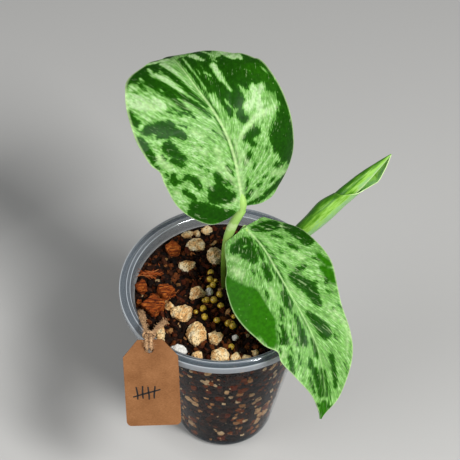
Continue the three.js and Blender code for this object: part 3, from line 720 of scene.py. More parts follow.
def make_cup():
    section = cup_side(0, 106.6) + CUP_RIM + cup_side(WALL, 105.4)[::-1]
    deselect()
    bpy.ops.mesh.primitive_circle_add(vertices=len(section), radius=1, fill_type="NOTHING")
    cup = bpy.context.object
    shape_to(cup, [(r, 0, z) for r, z in section])
    edit_all()
    bpy.ops.mesh.spin(steps=CUP_SIDES, angle=2 * math.pi, center=(0, 0, 0), axis=(0, 0, 1))
    bpy.ops.object.mode_set(mode="OBJECT")
    seal(cup)
    for k in range(DRAIN_HOLES):
        angle = math.pi * (k + 0.5) / 3
        bpy.ops.mesh.primitive_cylinder_add(
            vertices=24, radius=DRAIN_RADIUS * MM, depth=4 * MM,
            location=(DRAIN_RING * math.cos(angle) * MM, DRAIN_RING * math.sin(angle) * MM, 0))
        drill = bpy.context.object
        cut = cup.modifiers.new("drain_hole", "BOOLEAN")
        cut.operation = "DIFFERENCE"
        cut.object = drill
        hold(cup)
        bpy.ops.object.modifier_apply(modifier=cut.name)
        bpy.data.objects.remove(drill)
    return cup


cup = settle(make_cup(), "nursery_cup", [clear_plastic], smooth=35)
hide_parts("pot")


# The potting mix body, close behind the cup's wall, with its top surface rough
MIX_LEVEL = 101


def soil_height(x, y):
    """The solid model's mix surface."""
    away = np.clip((45.3 - np.hypot(x, y)) / 6, 0, 1)
    fade = away * away * (3 - 2 * away)
    swell = 0.7 * np.sin(0.23 * x + 1.3) * np.cos(0.19 * y - 0.6)
    crumbs = 0.6 * np.sin(0.61 * x - 0.37 * y) * np.cos(0.53 * y + 0.29 * x + 0.8)
    return MIX_LEVEL + 0.03 * y + fade * (swell + crumbs)


def rough(places, size, seed=0.0):
    """Noise about -1 to 1 at each place, with lumps of a size in millimetres."""
    return np.array([noise.noise(Vector((p[0] / size + seed, p[1] / size, p[2] / size)))
                     for p in places])


def mix_top(x, y):
    """The finished top of the mix: the solid's surface with crumbs and crevices worked in."""
    flat = np.stack([x, y, 0 * x], 1)
    away = np.clip((44.2 - np.hypot(x, y)) / 2, 0, 1)
    lift = 1.9 * rough(flat, 4.2, 3) + 1.1 * rough(flat, 1.8, 5) - 0.7
    return soil_height(x, y) + lift * away


# How far the mix stays inside the cup's outer face, how high its side goes, and the share of
# its grid's rows that go up its side. The rest cover its top.
MIX_INSET = 1.45
MIX_SIDE_TOP = 100.6
SIDE_SHARE = 0.68


def make_mix():
    side = np.array(cup_side(MIX_INSET, MIX_SIDE_TOP))
    steps = np.concatenate([[0], np.cumsum(np.hypot(*np.diff(side, axis=0).T))])
    piece, s, t = grid_sheet(220, 150)
    angle = -2 * math.pi * s
    low = np.clip(t / SIDE_SHARE, 0, 1) * steps[-1]
    top = np.clip((t - SIDE_SHARE) / (1 - SIDE_SHARE), 0, 1)
    radius = np.where(t <= SIDE_SHARE, np.interp(low, steps, side[:, 0]), side[-1, 0] * (1 - top))
    x, y = radius * np.cos(angle), radius * np.sin(angle)
    z = np.where(t <= SIDE_SHARE, np.interp(low, steps, side[:, 1]), mix_top(x, y))
    places = np.stack([x, y, z], 1)
    bite = np.clip(rough(places, 5.5), 0, 1) * 1.6 + np.clip(rough(places, 1.7, 7), 0, 1) * 0.8
    edge = np.clip(t / 0.05, 0, 1) * np.clip((SIDE_SHARE - t) / 0.03, 0, 1)
    shrink = 1 - np.where(t <= SIDE_SHARE, bite * edge, 0) / np.maximum(radius, 1)
    places[:, :2] *= shrink[:, None]
    shape_to(piece, places)
    return seal(piece)


mix = settle(make_mix(), "mix_body", [peat], smooth=40)
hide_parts("potting_mix")


# Lumps of pumice, perlite and husk: each solid made finer, then broken up by noise. A kind has
# its material, the number of its flat breaks, and how square it is, where 2 is a ball.
LUMP_KINDS = {"pumice": pumice, "husk": husk, "perlite": white_perlite}
BREAKS = {"pumice": 11, "husk": 4, "perlite": 3}
SQUARENESS = {"pumice": 2.6, "husk": 6, "perlite": 2}
HUSK_FIBRE_WAY = np.array([0.75, 0.65, 0.1])


def make_lump(node, kind, number):
    source = bpy.data.objects[node]
    piece = new_object(node + "_surface", source.data.copy())
    hold(piece)
    edit_all()
    bpy.ops.mesh.remove_doubles(threshold=0.01 * MM)
    bpy.ops.mesh.subdivide(number_cuts=5 if len(source.data.polygons) < 200 else 2, smoothness=1)
    bpy.ops.object.mode_set(mode="OBJECT")
    places = points_of(piece)
    middle = (places.max(0) + places.min(0)) / 2
    half = (places.max(0) - places.min(0)) / 2
    out = (places - middle) / half
    draw = random.Random(number)
    power = SQUARENESS[kind]
    square = np.array(Matrix.Rotation(draw.uniform(0.5, 0.9), 3, "Z"))
    turned = np.abs(out @ square)
    out *= (np.linalg.norm(out, axis=1) / np.sum(turned ** power, axis=1) ** (1 / power))[:, None]
    out *= 2 ** (1 / power - 0.5)
    for _ in range(BREAKS[kind]):
        way = np.array([draw.gauss(0, 1), draw.gauss(0, 1), 0.7 * draw.gauss(0, 1)])
        way /= np.linalg.norm(way)
        over = out @ way - draw.uniform(0.66, 0.86)
        out -= way * np.maximum(over, 0)[:, None] * 0.9
    size = half.mean()
    if kind == "husk":
        along = (places @ HUSK_FIBRE_WAY)[:, None] * HUSK_FIBRE_WAY
        fibres = (places - along) / 0.8 + along / 5
        swell = 0.12 + 0.12 * rough(fibres, 1.0, number) + 0.05 * rough(places, 1.2, number)
    else:
        swell = 0.14 + 0.14 * rough(places, 2.2, number) + 0.1 * rough(places, 1.0, number)
        swell -= 0.3 * np.clip(rough(places, 1.3, number + 9) - 0.12, 0, 1)
    shape_to(piece, middle + out * half * (1 + swell * min(1, 4 / size))[:, None])
    settle(piece, node + "_surface", [LUMP_KINDS[kind]], smooth=35)
    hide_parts(node)


lump_nodes = sorted(n for n in frame["nodes"] if n.split("_")[0] in LUMP_KINDS)
for number, node in enumerate(lump_nodes):
    make_lump(node, node.split("_")[0], number * 3.7)


# Small stuff: a few models, shaped once and copied into place with their own turn and colour
def crumb_model(seed):
    """An angular scrap: a cube cut up, rounded and pushed about. It is about 1 across."""
    deselect()
    bpy.ops.mesh.primitive_cube_add(size=1)
    model = bpy.context.object
    edit_all()
    bpy.ops.mesh.subdivide(number_cuts=1, smoothness=0.6)
    bpy.ops.object.mode_set(mode="OBJECT")
    draw = random.Random(seed)
    for v in model.data.vertices:
        v.co = v.co * 0.85 + Vector([draw.uniform(-0.1, 0.1) for _ in range(3)])
    return model


def turn_matrix(draw, lean=math.pi):
    turns = (draw.uniform(-lean, lean), draw.uniform(-lean, lean), draw.uniform(0, 6.28))
    return Euler(turns).to_matrix()


def tints_from(*codes):
    return [rgb(code)[:3] for code in codes]


BARK_TINTS = tints_from("#1e1109", "#33190d", "#482613", "#5c2a12", "#120a06", "#23130b", "#74401c",
                        "#1a0f0a")
WALL_TINTS = tints_from("#e6c08c", "#f6dcae", "#a65a22", "#86400f", "#c4915a", "#7a3210")
GRIT_TINTS = tints_from("#a87c4c", "#c49d68", "#8e5f33", "#7f4a22", "#cdb68a")
FIBRE_TINTS = tints_from("#c86a30", "#a24a1c", "#e0965a")
TOP_CRUMBS = 3400
TOP_SIZES = [0.5, 0.7, 0.7, 0.9, 1.2, 1.7, 2.6]
TOP_RADIUS = 44.4
TOP_GRIT_SHARE = 0.08
UNDER_LUMP = 0.4
WALL_CRUMBS = 3700
WALL_SIZES = [0.8, 1.1, 1.5, 2.1, 2.8, 3.8]
WALL_LIGHT_SHARE = 0.2
# The cup's outer radius at three heights, and how far inside it the crumbs reach
WALL_HEIGHTS = [0, 5, 98]
WALL_RADII = [21, 26.2, 43.9]
WALL_CLEARANCE = 0.95
SHREDS = 75
TUFT_SHREDS = 26
TUFT_AT = (-38.2, 11.0)

lump_circles = []
for node in lump_nodes:
    low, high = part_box(node)
    across = min(high.x - low.x, high.y - low.y)
    lump_circles.append(((low.x + high.x) / 2 / MM, (low.y + high.y) / 2 / MM, across / 2 / MM))


def lump_clear(x, y):
    """Whether a crumb at x, y lies clear of every lump, or hardly under its edge."""
    return all(math.hypot(x - c[0], y - c[1]) > c[2] - UNDER_LUMP for c in lump_circles)


def top_crumbs():
    """Crumbs of bark and grit strewn over the mix, between the lumps."""
    draw = random.Random(11)
    models = [crumb_model(1), crumb_model(2), crumb_model(3)]
    drawn = []
    while len(drawn) < TOP_CRUMBS:
        radius, angle = TOP_RADIUS * math.sqrt(draw.random()), draw.uniform(0, 2 * math.pi)
        x, y = radius * math.cos(angle), radius * math.sin(angle)
        big = draw.choice(TOP_SIZES)
        if lump_clear(x, y) and radius + 0.8 * big < 44.6:
            drawn.append((x, y, big))
    heights = mix_top(np.array([d[0] for d in drawn]), np.array([d[1] for d in drawn]))
    spots = []
    for (x, y, big), z in zip(drawn, heights):
        size = (big * draw.uniform(1, 1.9), big * draw.uniform(0.6, 1), big * draw.uniform(0.4, 0.8))
        tints = GRIT_TINTS if draw.random() < TOP_GRIT_SHARE else BARK_TINTS
        tint = tints[draw.randrange(len(tints))]
        z = float(z) + draw.uniform(-0.1, 0.35) * big
        spots.append((draw.randrange(3), (x, y, z), turn_matrix(draw, 0.9), size, tint))
    return scatter(models, spots)


settle(top_crumbs(), "bark_crumbs_on_top", [bark], smooth=None)


def wall_crumbs():
    """Bits of bark, grit and pumice pressed against the inside of the cup."""
    draw = random.Random(23)
    models = [crumb_model(4), crumb_model(5), crumb_model(6)]
    spots = []
    for _ in range(WALL_CRUMBS):
        angle, z = draw.uniform(0, 2 * math.pi), draw.uniform(3, 99)
        radius = np.interp(z, WALL_HEIGHTS, WALL_RADII) - WALL_CLEARANCE
        big = draw.choice(WALL_SIZES)
        light = draw.random() < WALL_LIGHT_SHARE
        tints, share, proud = (WALL_TINTS, 1, 0.15) if light else (BARK_TINTS, 0.5, -0.15)
        tint = [share * part for part in tints[draw.randrange(len(tints))]]
        size = (big * draw.uniform(0.8, 1.15), big * 0.6, big * draw.uniform(0.95, 1.4))
        spin = draw.uniform(-0.7, 0.7)
        turn = Matrix.Rotation(angle + math.pi / 2, 3, "Z") @ Matrix.Rotation(
            CONE_LEAN, 3, "X") @ Matrix.Rotation(spin, 3, "Y")
        reach = radius - 0.3 * big + proud - draw.uniform(-0.05, 0.15)
        place = (reach * math.cos(angle), reach * math.sin(angle), z)
        spots.append((draw.randrange(3), place, turn, size, tint))
    return scatter(models, spots)


settle(wall_crumbs(), "crumbs_at_wall", [bark], smooth=None)


def husk_fibres():
    """Shreds of coir: a tuft by the wall and loose ends among the crumbs."""
    draw = random.Random(31)
    bow = [(-500, 0, 0), (-200, 50, 30), (150, -40, 60), (500, 40, 0)]
    model = rod(bow, lambda t, angle, length: (20 + 0 * t, 20 + 0 * t), 5, 10)
    spots = []
    for k in range(SHREDS):
        if k < TUFT_SHREDS:
            x, y = draw.gauss(TUFT_AT[0], 1.8), draw.gauss(TUFT_AT[1], 0.9)
            long, way = draw.uniform(5, 10), draw.gauss(-0.15, 0.35)
            lift = draw.uniform(0.6, 1.8)
        else:
            radius, angle = 42 * math.sqrt(draw.random()), draw.uniform(0, 6.28)
            x, y = radius * math.cos(angle), radius * math.sin(angle)
            long, way = draw.uniform(2, 5), draw.uniform(0, 3.14)
            lift = draw.uniform(0.3, 0.8)
        z = float(soil_height(x, y)) + lift
        turn = Euler((draw.uniform(-1, 1), draw.uniform(-0.2, 0.2), way)).to_matrix()
        tint = FIBRE_TINTS[draw.randrange(3)]
        thick = draw.uniform(5, 10)
        spots.append((0, (x, y, z), turn, (long, thick, thick), tint))
    return scatter([model], spots)


settle(husk_fibres(), "coir_shreds", [bark], smooth=60)


# Fertiliser prills: where each lies on the mix
PRILLS = [(-6.5, 12.5), (-6.9, 7.9), (-5.4, 4.4), (-2.0, -1.4), (-8.5, -4.9), (-4.9, -5.3),
          (-1.4, -8.1), (-10.2, -10.6), (-3.3, -17.9), (2.2, -19), (4.6, -21.6), (3.9, -33.6),
          (-9.4, -15.8)]
SMALL_PRILLS = [(4.3, -39.7), (1.6, 1.0), (0.4, 8.0), (5.0, -15.2), (-9.9, -5.4), (-13.9, -12.6),
                (-4.1, 7.4), (-10.7, -11.5), (4.5, -19.1), (-7.6, 3.0)]
PRILL_RADIUS = 1.75
SMALL_PRILL_RADIUS = 1.15
PRILL_LIFT = 0.8


def make_prills():
    draw = random.Random(5)
    deselect()
    bpy.ops.mesh.primitive_ico_sphere_add(subdivisions=3, radius=1)
    model = bpy.context.object
    spots = []
    for number, (x, y) in enumerate(PRILLS + SMALL_PRILLS):
        radius = PRILL_RADIUS if number < len(PRILLS) else SMALL_PRILL_RADIUS
        size = radius * np.array([draw.uniform(0.92, 1.04) for _ in range(3)])
        place = (x, y, float(soil_height(x, y)) + PRILL_LIFT)
        spots.append((0, place, turn_matrix(draw), size, (1, 1, 1)))
    return scatter([model], spots)


settle(make_prills(), "fertiliser_prills", [amber], smooth=60)


# Leaf blades, as in the solid model: the midrib in space, the way the right half points, how
# the section rolls, folds (degrees) and bends down (per mm) from base to tip, and the outline
# laid flat, where each point is (distance from the midrib, distance along it)
UPPER_BLADE = {
    "midrib": [(9.4, 5.4, 162.3), (7.6, 9.0, 174.2), (5.3, 14.1, 185.4), (1.3, 20.3, 195.5),
               (-4.9, 27.6, 203.7), (-12.1, 36.3, 208.9), (-18.6, 46.8, 210.5),
               (-23.9, 57.7, 207.5), (-29.4, 66.0, 200.1)],
    "sideways": (1, 0, 0),
    "roll": (-6.9, -2.5, 9.9),
    "fold": {"left": (23.5, 10.5, -1.6), "right": (-14.4, 7.8, 9.8)},
    "bend": {"left": (0.0138, 0.0001, 0.005), "right": (0.0235, 0.0206, 0.0113)},
    "left": [(0.6, -0.8), (10.1, -4.5), (20.4, -3.2), (33.0, 12.0), (39.3, 49.4), (36.4, 64.7),
             (27.9, 79.0), (11.1, 91.2), (3.4, 97.8), (0.4, 100.2)],
    "right": [(0.6, -0.8), (11.0, -3.2), (20.2, -1.1), (32.0, 12.4), (35.1, 49.4), (33.5, 64.7),
              (26.5, 79.0), (11.3, 91.2), (3.4, 97.8), (0.4, 100.2)],
}
LOWER_BLADE = {
    "midrib": [(11.0, 2.0, 148.5), (18.8, -8.1, 146.9), (25.2, -18.4, 142.5), (31.5, -28.4, 137.2),
               (37.9, -38.0, 131.3), (43.5, -47.2, 124.2), (47.0, -55.8, 115.3),
               (48.2, -64.3, 105.6), (46.4, -73.9, 97.3)],
    "sideways": (-0.87, -0.5, 0),
    "roll": (-0.3, -18.8, 2.5),
    "fold": {"left": (-9.4, 4.9, 9.4), "right": (-24.1, 6.4, 21.6)},
    "bend": {"left": (0.0179, 0.009, 0.0125), "right": (0.0197, 0.01, 0.024)},
    "left": [(0.6, -0.8), (8.0, -1.4), (14.5, -1.0), (25.1, 12.4), (26.4, 33.2), (19.0, 54.3),
             (16.1, 74.0), (8.4, 90.9), (2.2, 100.0), (0.4, 103.3)],
    "right": [(0.6, -0.8), (8.2, -1.4), (13.8, -1.0), (22.8, 12.4), (28.2, 33.2), (23.7, 54.3),
              (17.4, 74.0), (8.0, 90.9), (2.2, 100.0), (0.4, 103.3)],
}


def along_row(values, f):
    """The value a share f along evenly spaced values."""
    return np.interp(f, np.linspace(0, 1, len(values)), values)


def outline_at(points, u):
    """The outline's point at a share u of its way, on an even smooth curve through its points."""
    points = np.array(points, float)
    last = len(points) - 1
    first = np.clip((u * last).astype(int), 0, last - 1)
    t = (u * last - first)[:, None]
    a, b = points[np.maximum(first - 1, 0)], points[first]
    c, d = points[first + 1], points[np.minimum(first + 2, last)]
    leave, arrive = (c - a) / 2, (d - b) / 2
    bend = -3 * b + 3 * c - 2 * leave - arrive
    return b + leave * t + bend * t * t + (2 * b - 2 * c + leave + arrive) * t ** 3


def blade_points(blade, x, y, lift):
    """Places over flat places (x, y) of a blade, lifted above its middle surface."""
    path = smooth_path(blade["midrib"], 40)
    steps = np.linalg.norm(np.diff(path, axis=0), axis=1)
    reach = np.concatenate([[0], np.cumsum(steps)])
    ways = np.gradient(path, reach, axis=0)
    inside = np.clip(y, 0, reach[-1])
    f = inside / reach[-1]
    middle = np.stack([np.interp(inside, reach, path[:, k]) for k in range(3)], 1)
    ahead = np.stack([np.interp(inside, reach, ways[:, k]) for k in range(3)], 1)
    ahead /= np.linalg.norm(ahead, axis=1)[:, None]
    middle = middle + ahead * (y - inside)[:, None]
    across = np.array(blade["sideways"], float)
    across /= np.linalg.norm(across)
    level = across - ahead * (ahead @ across)[:, None]
    level /= np.linalg.norm(level, axis=1)[:, None]
    raised = np.cross(level, ahead)
    roll = np.radians(along_row(blade["roll"], f))[:, None]
    side = level * np.cos(roll) + raised * np.sin(roll)
    up = np.cross(side, ahead)
    fold, bend = (np.where(x < 0, along_row(blade[key]["left"], f), along_row(blade[key]["right"], f))
                  for key in ("fold", "bend"))
    fold = np.radians(fold)
    slope = fold - bend * np.abs(x)
    out = np.sign(x) * (np.sin(fold) - np.sin(slope)) / bend
    rise = (np.cos(slope) - np.cos(fold)) / bend
    tilt = np.where(np.abs(x) < 1e-6, 0, slope)
    skin = up * np.cos(tilt)[:, None] - side * (np.sign(x) * np.sin(tilt))[:, None]
    return middle + side * out[:, None] + up * rise[:, None] + skin * lift[:, None], reach[-1]


def strokes_field(strokes, x, y, soft):
    """1 inside the strokes and -1 away from them. A stroke runs from one flat place to another,
    (x0, y0, x1, y1, half width there, half width here), in millimetres."""
    best = np.full(len(x), -1.0)
    for x0, y0, x1, y1, w0, w1 in strokes:
        dx, dy = x1 - x0, y1 - y0
        t = np.clip(((x - x0) * dx + (y - y0) * dy) / (dx * dx + dy * dy + 1e-9), 0, 1)
        away = np.hypot(x - x0 - t * dx, y - y0 - t * dy)
        best = np.maximum(best, np.clip((w0 + (w1 - w0) * t - away) / soft, -1, 1))
    return best


# What each blade is painted with: how strong its midrib shows, a dent in its outline (side,
# height, depth, width), how green and how pale it is between strokes, then the strokes, and
# how soft and how strong the plain green ones are
UPPER_PAINT = {
    "rib": 1,
    "dent": (-1, 31, 0.035, 6),
    "base": -0.5,
    "pale": -0.62,
    "dark": [
        (-22, 3.5, -8, -3.5, 5.5, 3.4), (-24, 7, -22, 3, 2.6, 4), (-11.5, 10, -6, 6.5, 5.2, 3.2),
        (-14.5, 13.5, -10, 10, 1.6, 4), (-10.5, 19.5, -8.5, 13, 1.6, 2.6),
        (-4.6, 22, -2.6, 17, 1.1, 0.5), (-30.5, 27, -30.5, 20.5, 1.3, 1.5),
        (-33, 22.5, -22, 22, 1.0, 1.2), (-24, 23.5, -20, 18, 1.7, 1.6),
        (-20.5, 18, -19.3, 15, 1.4, 0.8), (-27, 15.2, -23, 11, 1.3, 1.2),
        (-27.5, 47, -26, 40, 2.8, 2.4), (-28.5, 37.5, -25, 31, 1.6, 1.3),
        (-26, 41, -23.5, 35, 1.9, 1.8), (-37.6, 57, -36, 44, 2.1, 1.6),
        (-38, 50, -37, 42, 1.2, 0.8), (-32.5, 59.0, -25, 56.5, 1.8, 2.6),
        (-25, 56.5, -18.8, 47, 2.9, 1.8), (-29, 53.5, -24.5, 51, 1.4, 1.6),
        (-36, 66, -33.4, 61, 2.1, 1.6), (-31, 80, -12, 90, 4, 6), (-30, 78, -13, 84, 2.2, 5),
        (-18.5, 78, -13, 66, 3.2, 2.2), (-13, 66, -9.5, 52, 1.9, 0.4),
        (-13, 76, -7.5, 62, 2.2, 2.0), (-7.5, 62, -2.6, 48, 1.8, 0.5),
        (-8.5, 80, -4.2, 64, 1.9, 1.4), (-4.2, 64, -1.6, 53, 1.3, 0.6),
        (-1.1, 47, -0.9, 31, 0.5, 0.4), (1.5, 58, 2.6, 84, 0.7, 1.7), (4.6, 58, 6.4, 83, 1.6, 2.6),
        (9.6, 58, 12, 84, 2.2, 3.6), (6, 44, 8.5, 58, 1.2, 3.2), (22, 64, 27, 54, 11.5, 9),
        (12, 48, 13, 57, 3.6, 4), (10, 42, 12, 36.5, 2.2, 2.0), (30, 50, 34, 38, 4, 3),
        (27, 26.5, 28, 18, 7.5, 5.2), (30, 34, 31, 12, 4, 3), (21, 29, 22, 24, 2, 3),
        (7.6, 32.5, 13.5, 33.2, 1.6, 2.0), (9.2, 31, 11, 28, 1.8, 1.0),
        (4.6, 21.6, 7.6, 24.6, 1.0, 1.5), (2.3, 7.5, 4.4, 12.5, 0.6, 0.6),
        (1.9, 3.2, 4.8, 5.4, 1.2, 1.5), (13, 1.0, 28, 2.4, 1.8, 2.0), (20, 3.0, 30, 5.0, 1.2, 1.6),
        (2, -0.7, 12, -0.6, 0.9, 1.2), (14, 84, 20, 92, 3.2, 3), (0, 96, 0, 100, 4, 3),
        (24, 70, 33, 62, 4, 3), (20, 15, 24, 12, 1.2, 1.2), (-30, 58, -22, 55, 2.0, 2.8),
        (-27, 73.4, -25.6, 71.6, 0.8, 0.6), (-23, 75.4, -22, 73, 0.8, 0.6),
        (-18.6, 61.4, -14, 56, 0.35, 0.3), (-15.4, 60.6, -11.2, 54.4, 0.4, 0.3),
        (-20, 64, -17, 60.4, 0.3, 0.3), (-17.6, 53, -15.4, 50, 0.3, 0.25),
        (-14, 38.6, -13.2, 36.8, 0.6, 0.4), (-33.4, 30, -32.4, 27, 0.6, 0.4),
        (-36.6, 39, -35.6, 33, 0.7, 0.5), (-32, 44, -31, 40, 0.6, 0.8),
        (-18, 27.4, -16.6, 26, 0.4, 0.3), (-15, 24, -13.6, 22.6, 0.4, 0.3),
        (-6.6, 16.4, -4, 11, 0.4, 0.3), (-4.4, 15.4, -3.2, 12, 0.4, 0.3),
        (8, 18, 9, 20.6, 0.5, 0.4), (12.6, 11, 14.6, 12, 0.6, 0.5), (9, 7.4, 11, 8.4, 0.7, 0.5),
        (16.6, 6.4, 19, 7.6, 0.8, 0.6), (16, 24, 18, 27, 0.4, 0.3), (1.1, 46, 1.0, 58, 0.35, 0.4),
        (1.4, 22, 1.2, 34, 0.3, 0.35), (-0.9, 20, -0.9, 30, 0.25, 0.3),
        (-5, 42, -1.4, 34, 0.3, 0.25),
    ],
    "light": [
        (-31, 71, -20, 64, 4.2, 3.4), (-26.6, 76.6, -25.5, 74.5, 1.3, 1.2),
        (-21, 78.4, -20.6, 76.6, 0.8, 0.7), (-14.6, 84, -14.8, 78, 0.9, 1.1),
        (-14.5, 78, -10.5, 74, 1.2, 2.2), (-10.5, 74, -7, 64, 2.0, 1.0), (-7, 64, -3, 55, 0.9, 0.3),
        (-6.5, 85, -3.2, 70, 2.0, 1.1), (-3.2, 70, -1.4, 58, 1.0, 0.4),
        (3.4, 84, 3.2, 60, 0.6, 0.4), (8, 84, 10.8, 76, 2.2, 1.0), (7.2, 68, 9, 64, 0.7, 0.5),
        (13, 70, 12, 60, 1.8, 1.6), (12, 60, 12, 53, 1.2, 0.6), (23.5, 82, 25.5, 72, 3.4, 4.2),
        (27.5, 74, 27, 67, 2.2, 1.4), (15, 43.5, 26, 47.4, 2.6, 2.0), (20, 42, 22, 49, 3, 2.2),
        (27, 41.4, 30.6, 42.8, 0.9, 0.7), (5, 33.6, 9, 36, 1.0, 1.3), (9, 36, 16, 38.6, 1.3, 1.5),
        (16, 38.6, 28, 38, 1.5, 1.0), (7.5, 50.5, 8, 46.5, 0.8, 0.5), (1, 60, 0.9, 84, 0.4, 0.3),
        (-1.0, 60, -0.8, 84, 0.4, 0.3), (14, 90, 16, 80, 1.2, 0.9), (-13, 89.5, -4, 88.5, 1.5, 2.4),
        (-8.8, 15.6, -4.2, 8.2, 0.3, 0.3), (14.6, 44, 13, 41, 1.2, 0.6),
        (24, 49, 28, 48.4, 0.8, 0.6), (15.2, 73.6, 15.6, 71, 0.6, 0.5),
        (32, 54.6, 33, 50, 0.5, 0.4), (5.4, 72, 5.0, 68, 0.4, 0.3),
        (-35, 60.6, -31.6, 61, 0.8, 0.7), (25, 57, 25.6, 55.6, 0.35, 0.3),
        (-16, 71, -15, 68, 0.3, 0.3),
    ],
    "cream": [
        (-7.6, 27, -2, 10, 1.6, 1.0), (-13.5, 46, -11, 42, 1.6, 1.4),
        (-7, 32.5, -6, 30.5, 1.2, 1.1), (-34, 45, -31, 31, 1.8, 1.4),
        (-14.5, 37, -12.6, 33, 1.5, 1.3), (2.4, 33, 1.2, 8, 1.5, 1.0),
        (18, 10.5, 28, 4.5, 1.6, 1.5), (6.2, 4.6, 7, 3, 1.4, 1.2), (4.6, 32.6, 9, 36, 1.2, 1.2),
        (9, 36, 16, 38.6, 1.2, 1.4), (16, 38.6, 28, 38.2, 1.4, 0.9),
        (-26, 66.4, -24.4, 64, 1.2, 1.2), (4, 26, 6, 20, 1.6, 1.2), (-9, 2, -3, 4, 1, 1.6),
        (23, 12.4, 24, 10.6, 1.0, 1.0), (0, -1, 0, 12, 2.4, 1.2), (-10, 24, -6, 16, 1.0, 0.8),
        (-3, 40, -1.4, 34, 0.5, 0.5), (-14.6, 65, -9, 57, 0.5, 0.4), (-18, 20, -14, 14.6, 0.8, 0.8),
        (-31, 16, -29, 13.4, 0.9, 0.8), (0.2, 12, 0.2, 50, 0.9, 0.4), (-9, 60.4, -5, 52, 0.5, 0.35),
    ],
    "plain": [
        (27, 60, 31, 46, 4, 3),
    ],
    "plain_soft": 6,
    "plain_share": 0.6,
}
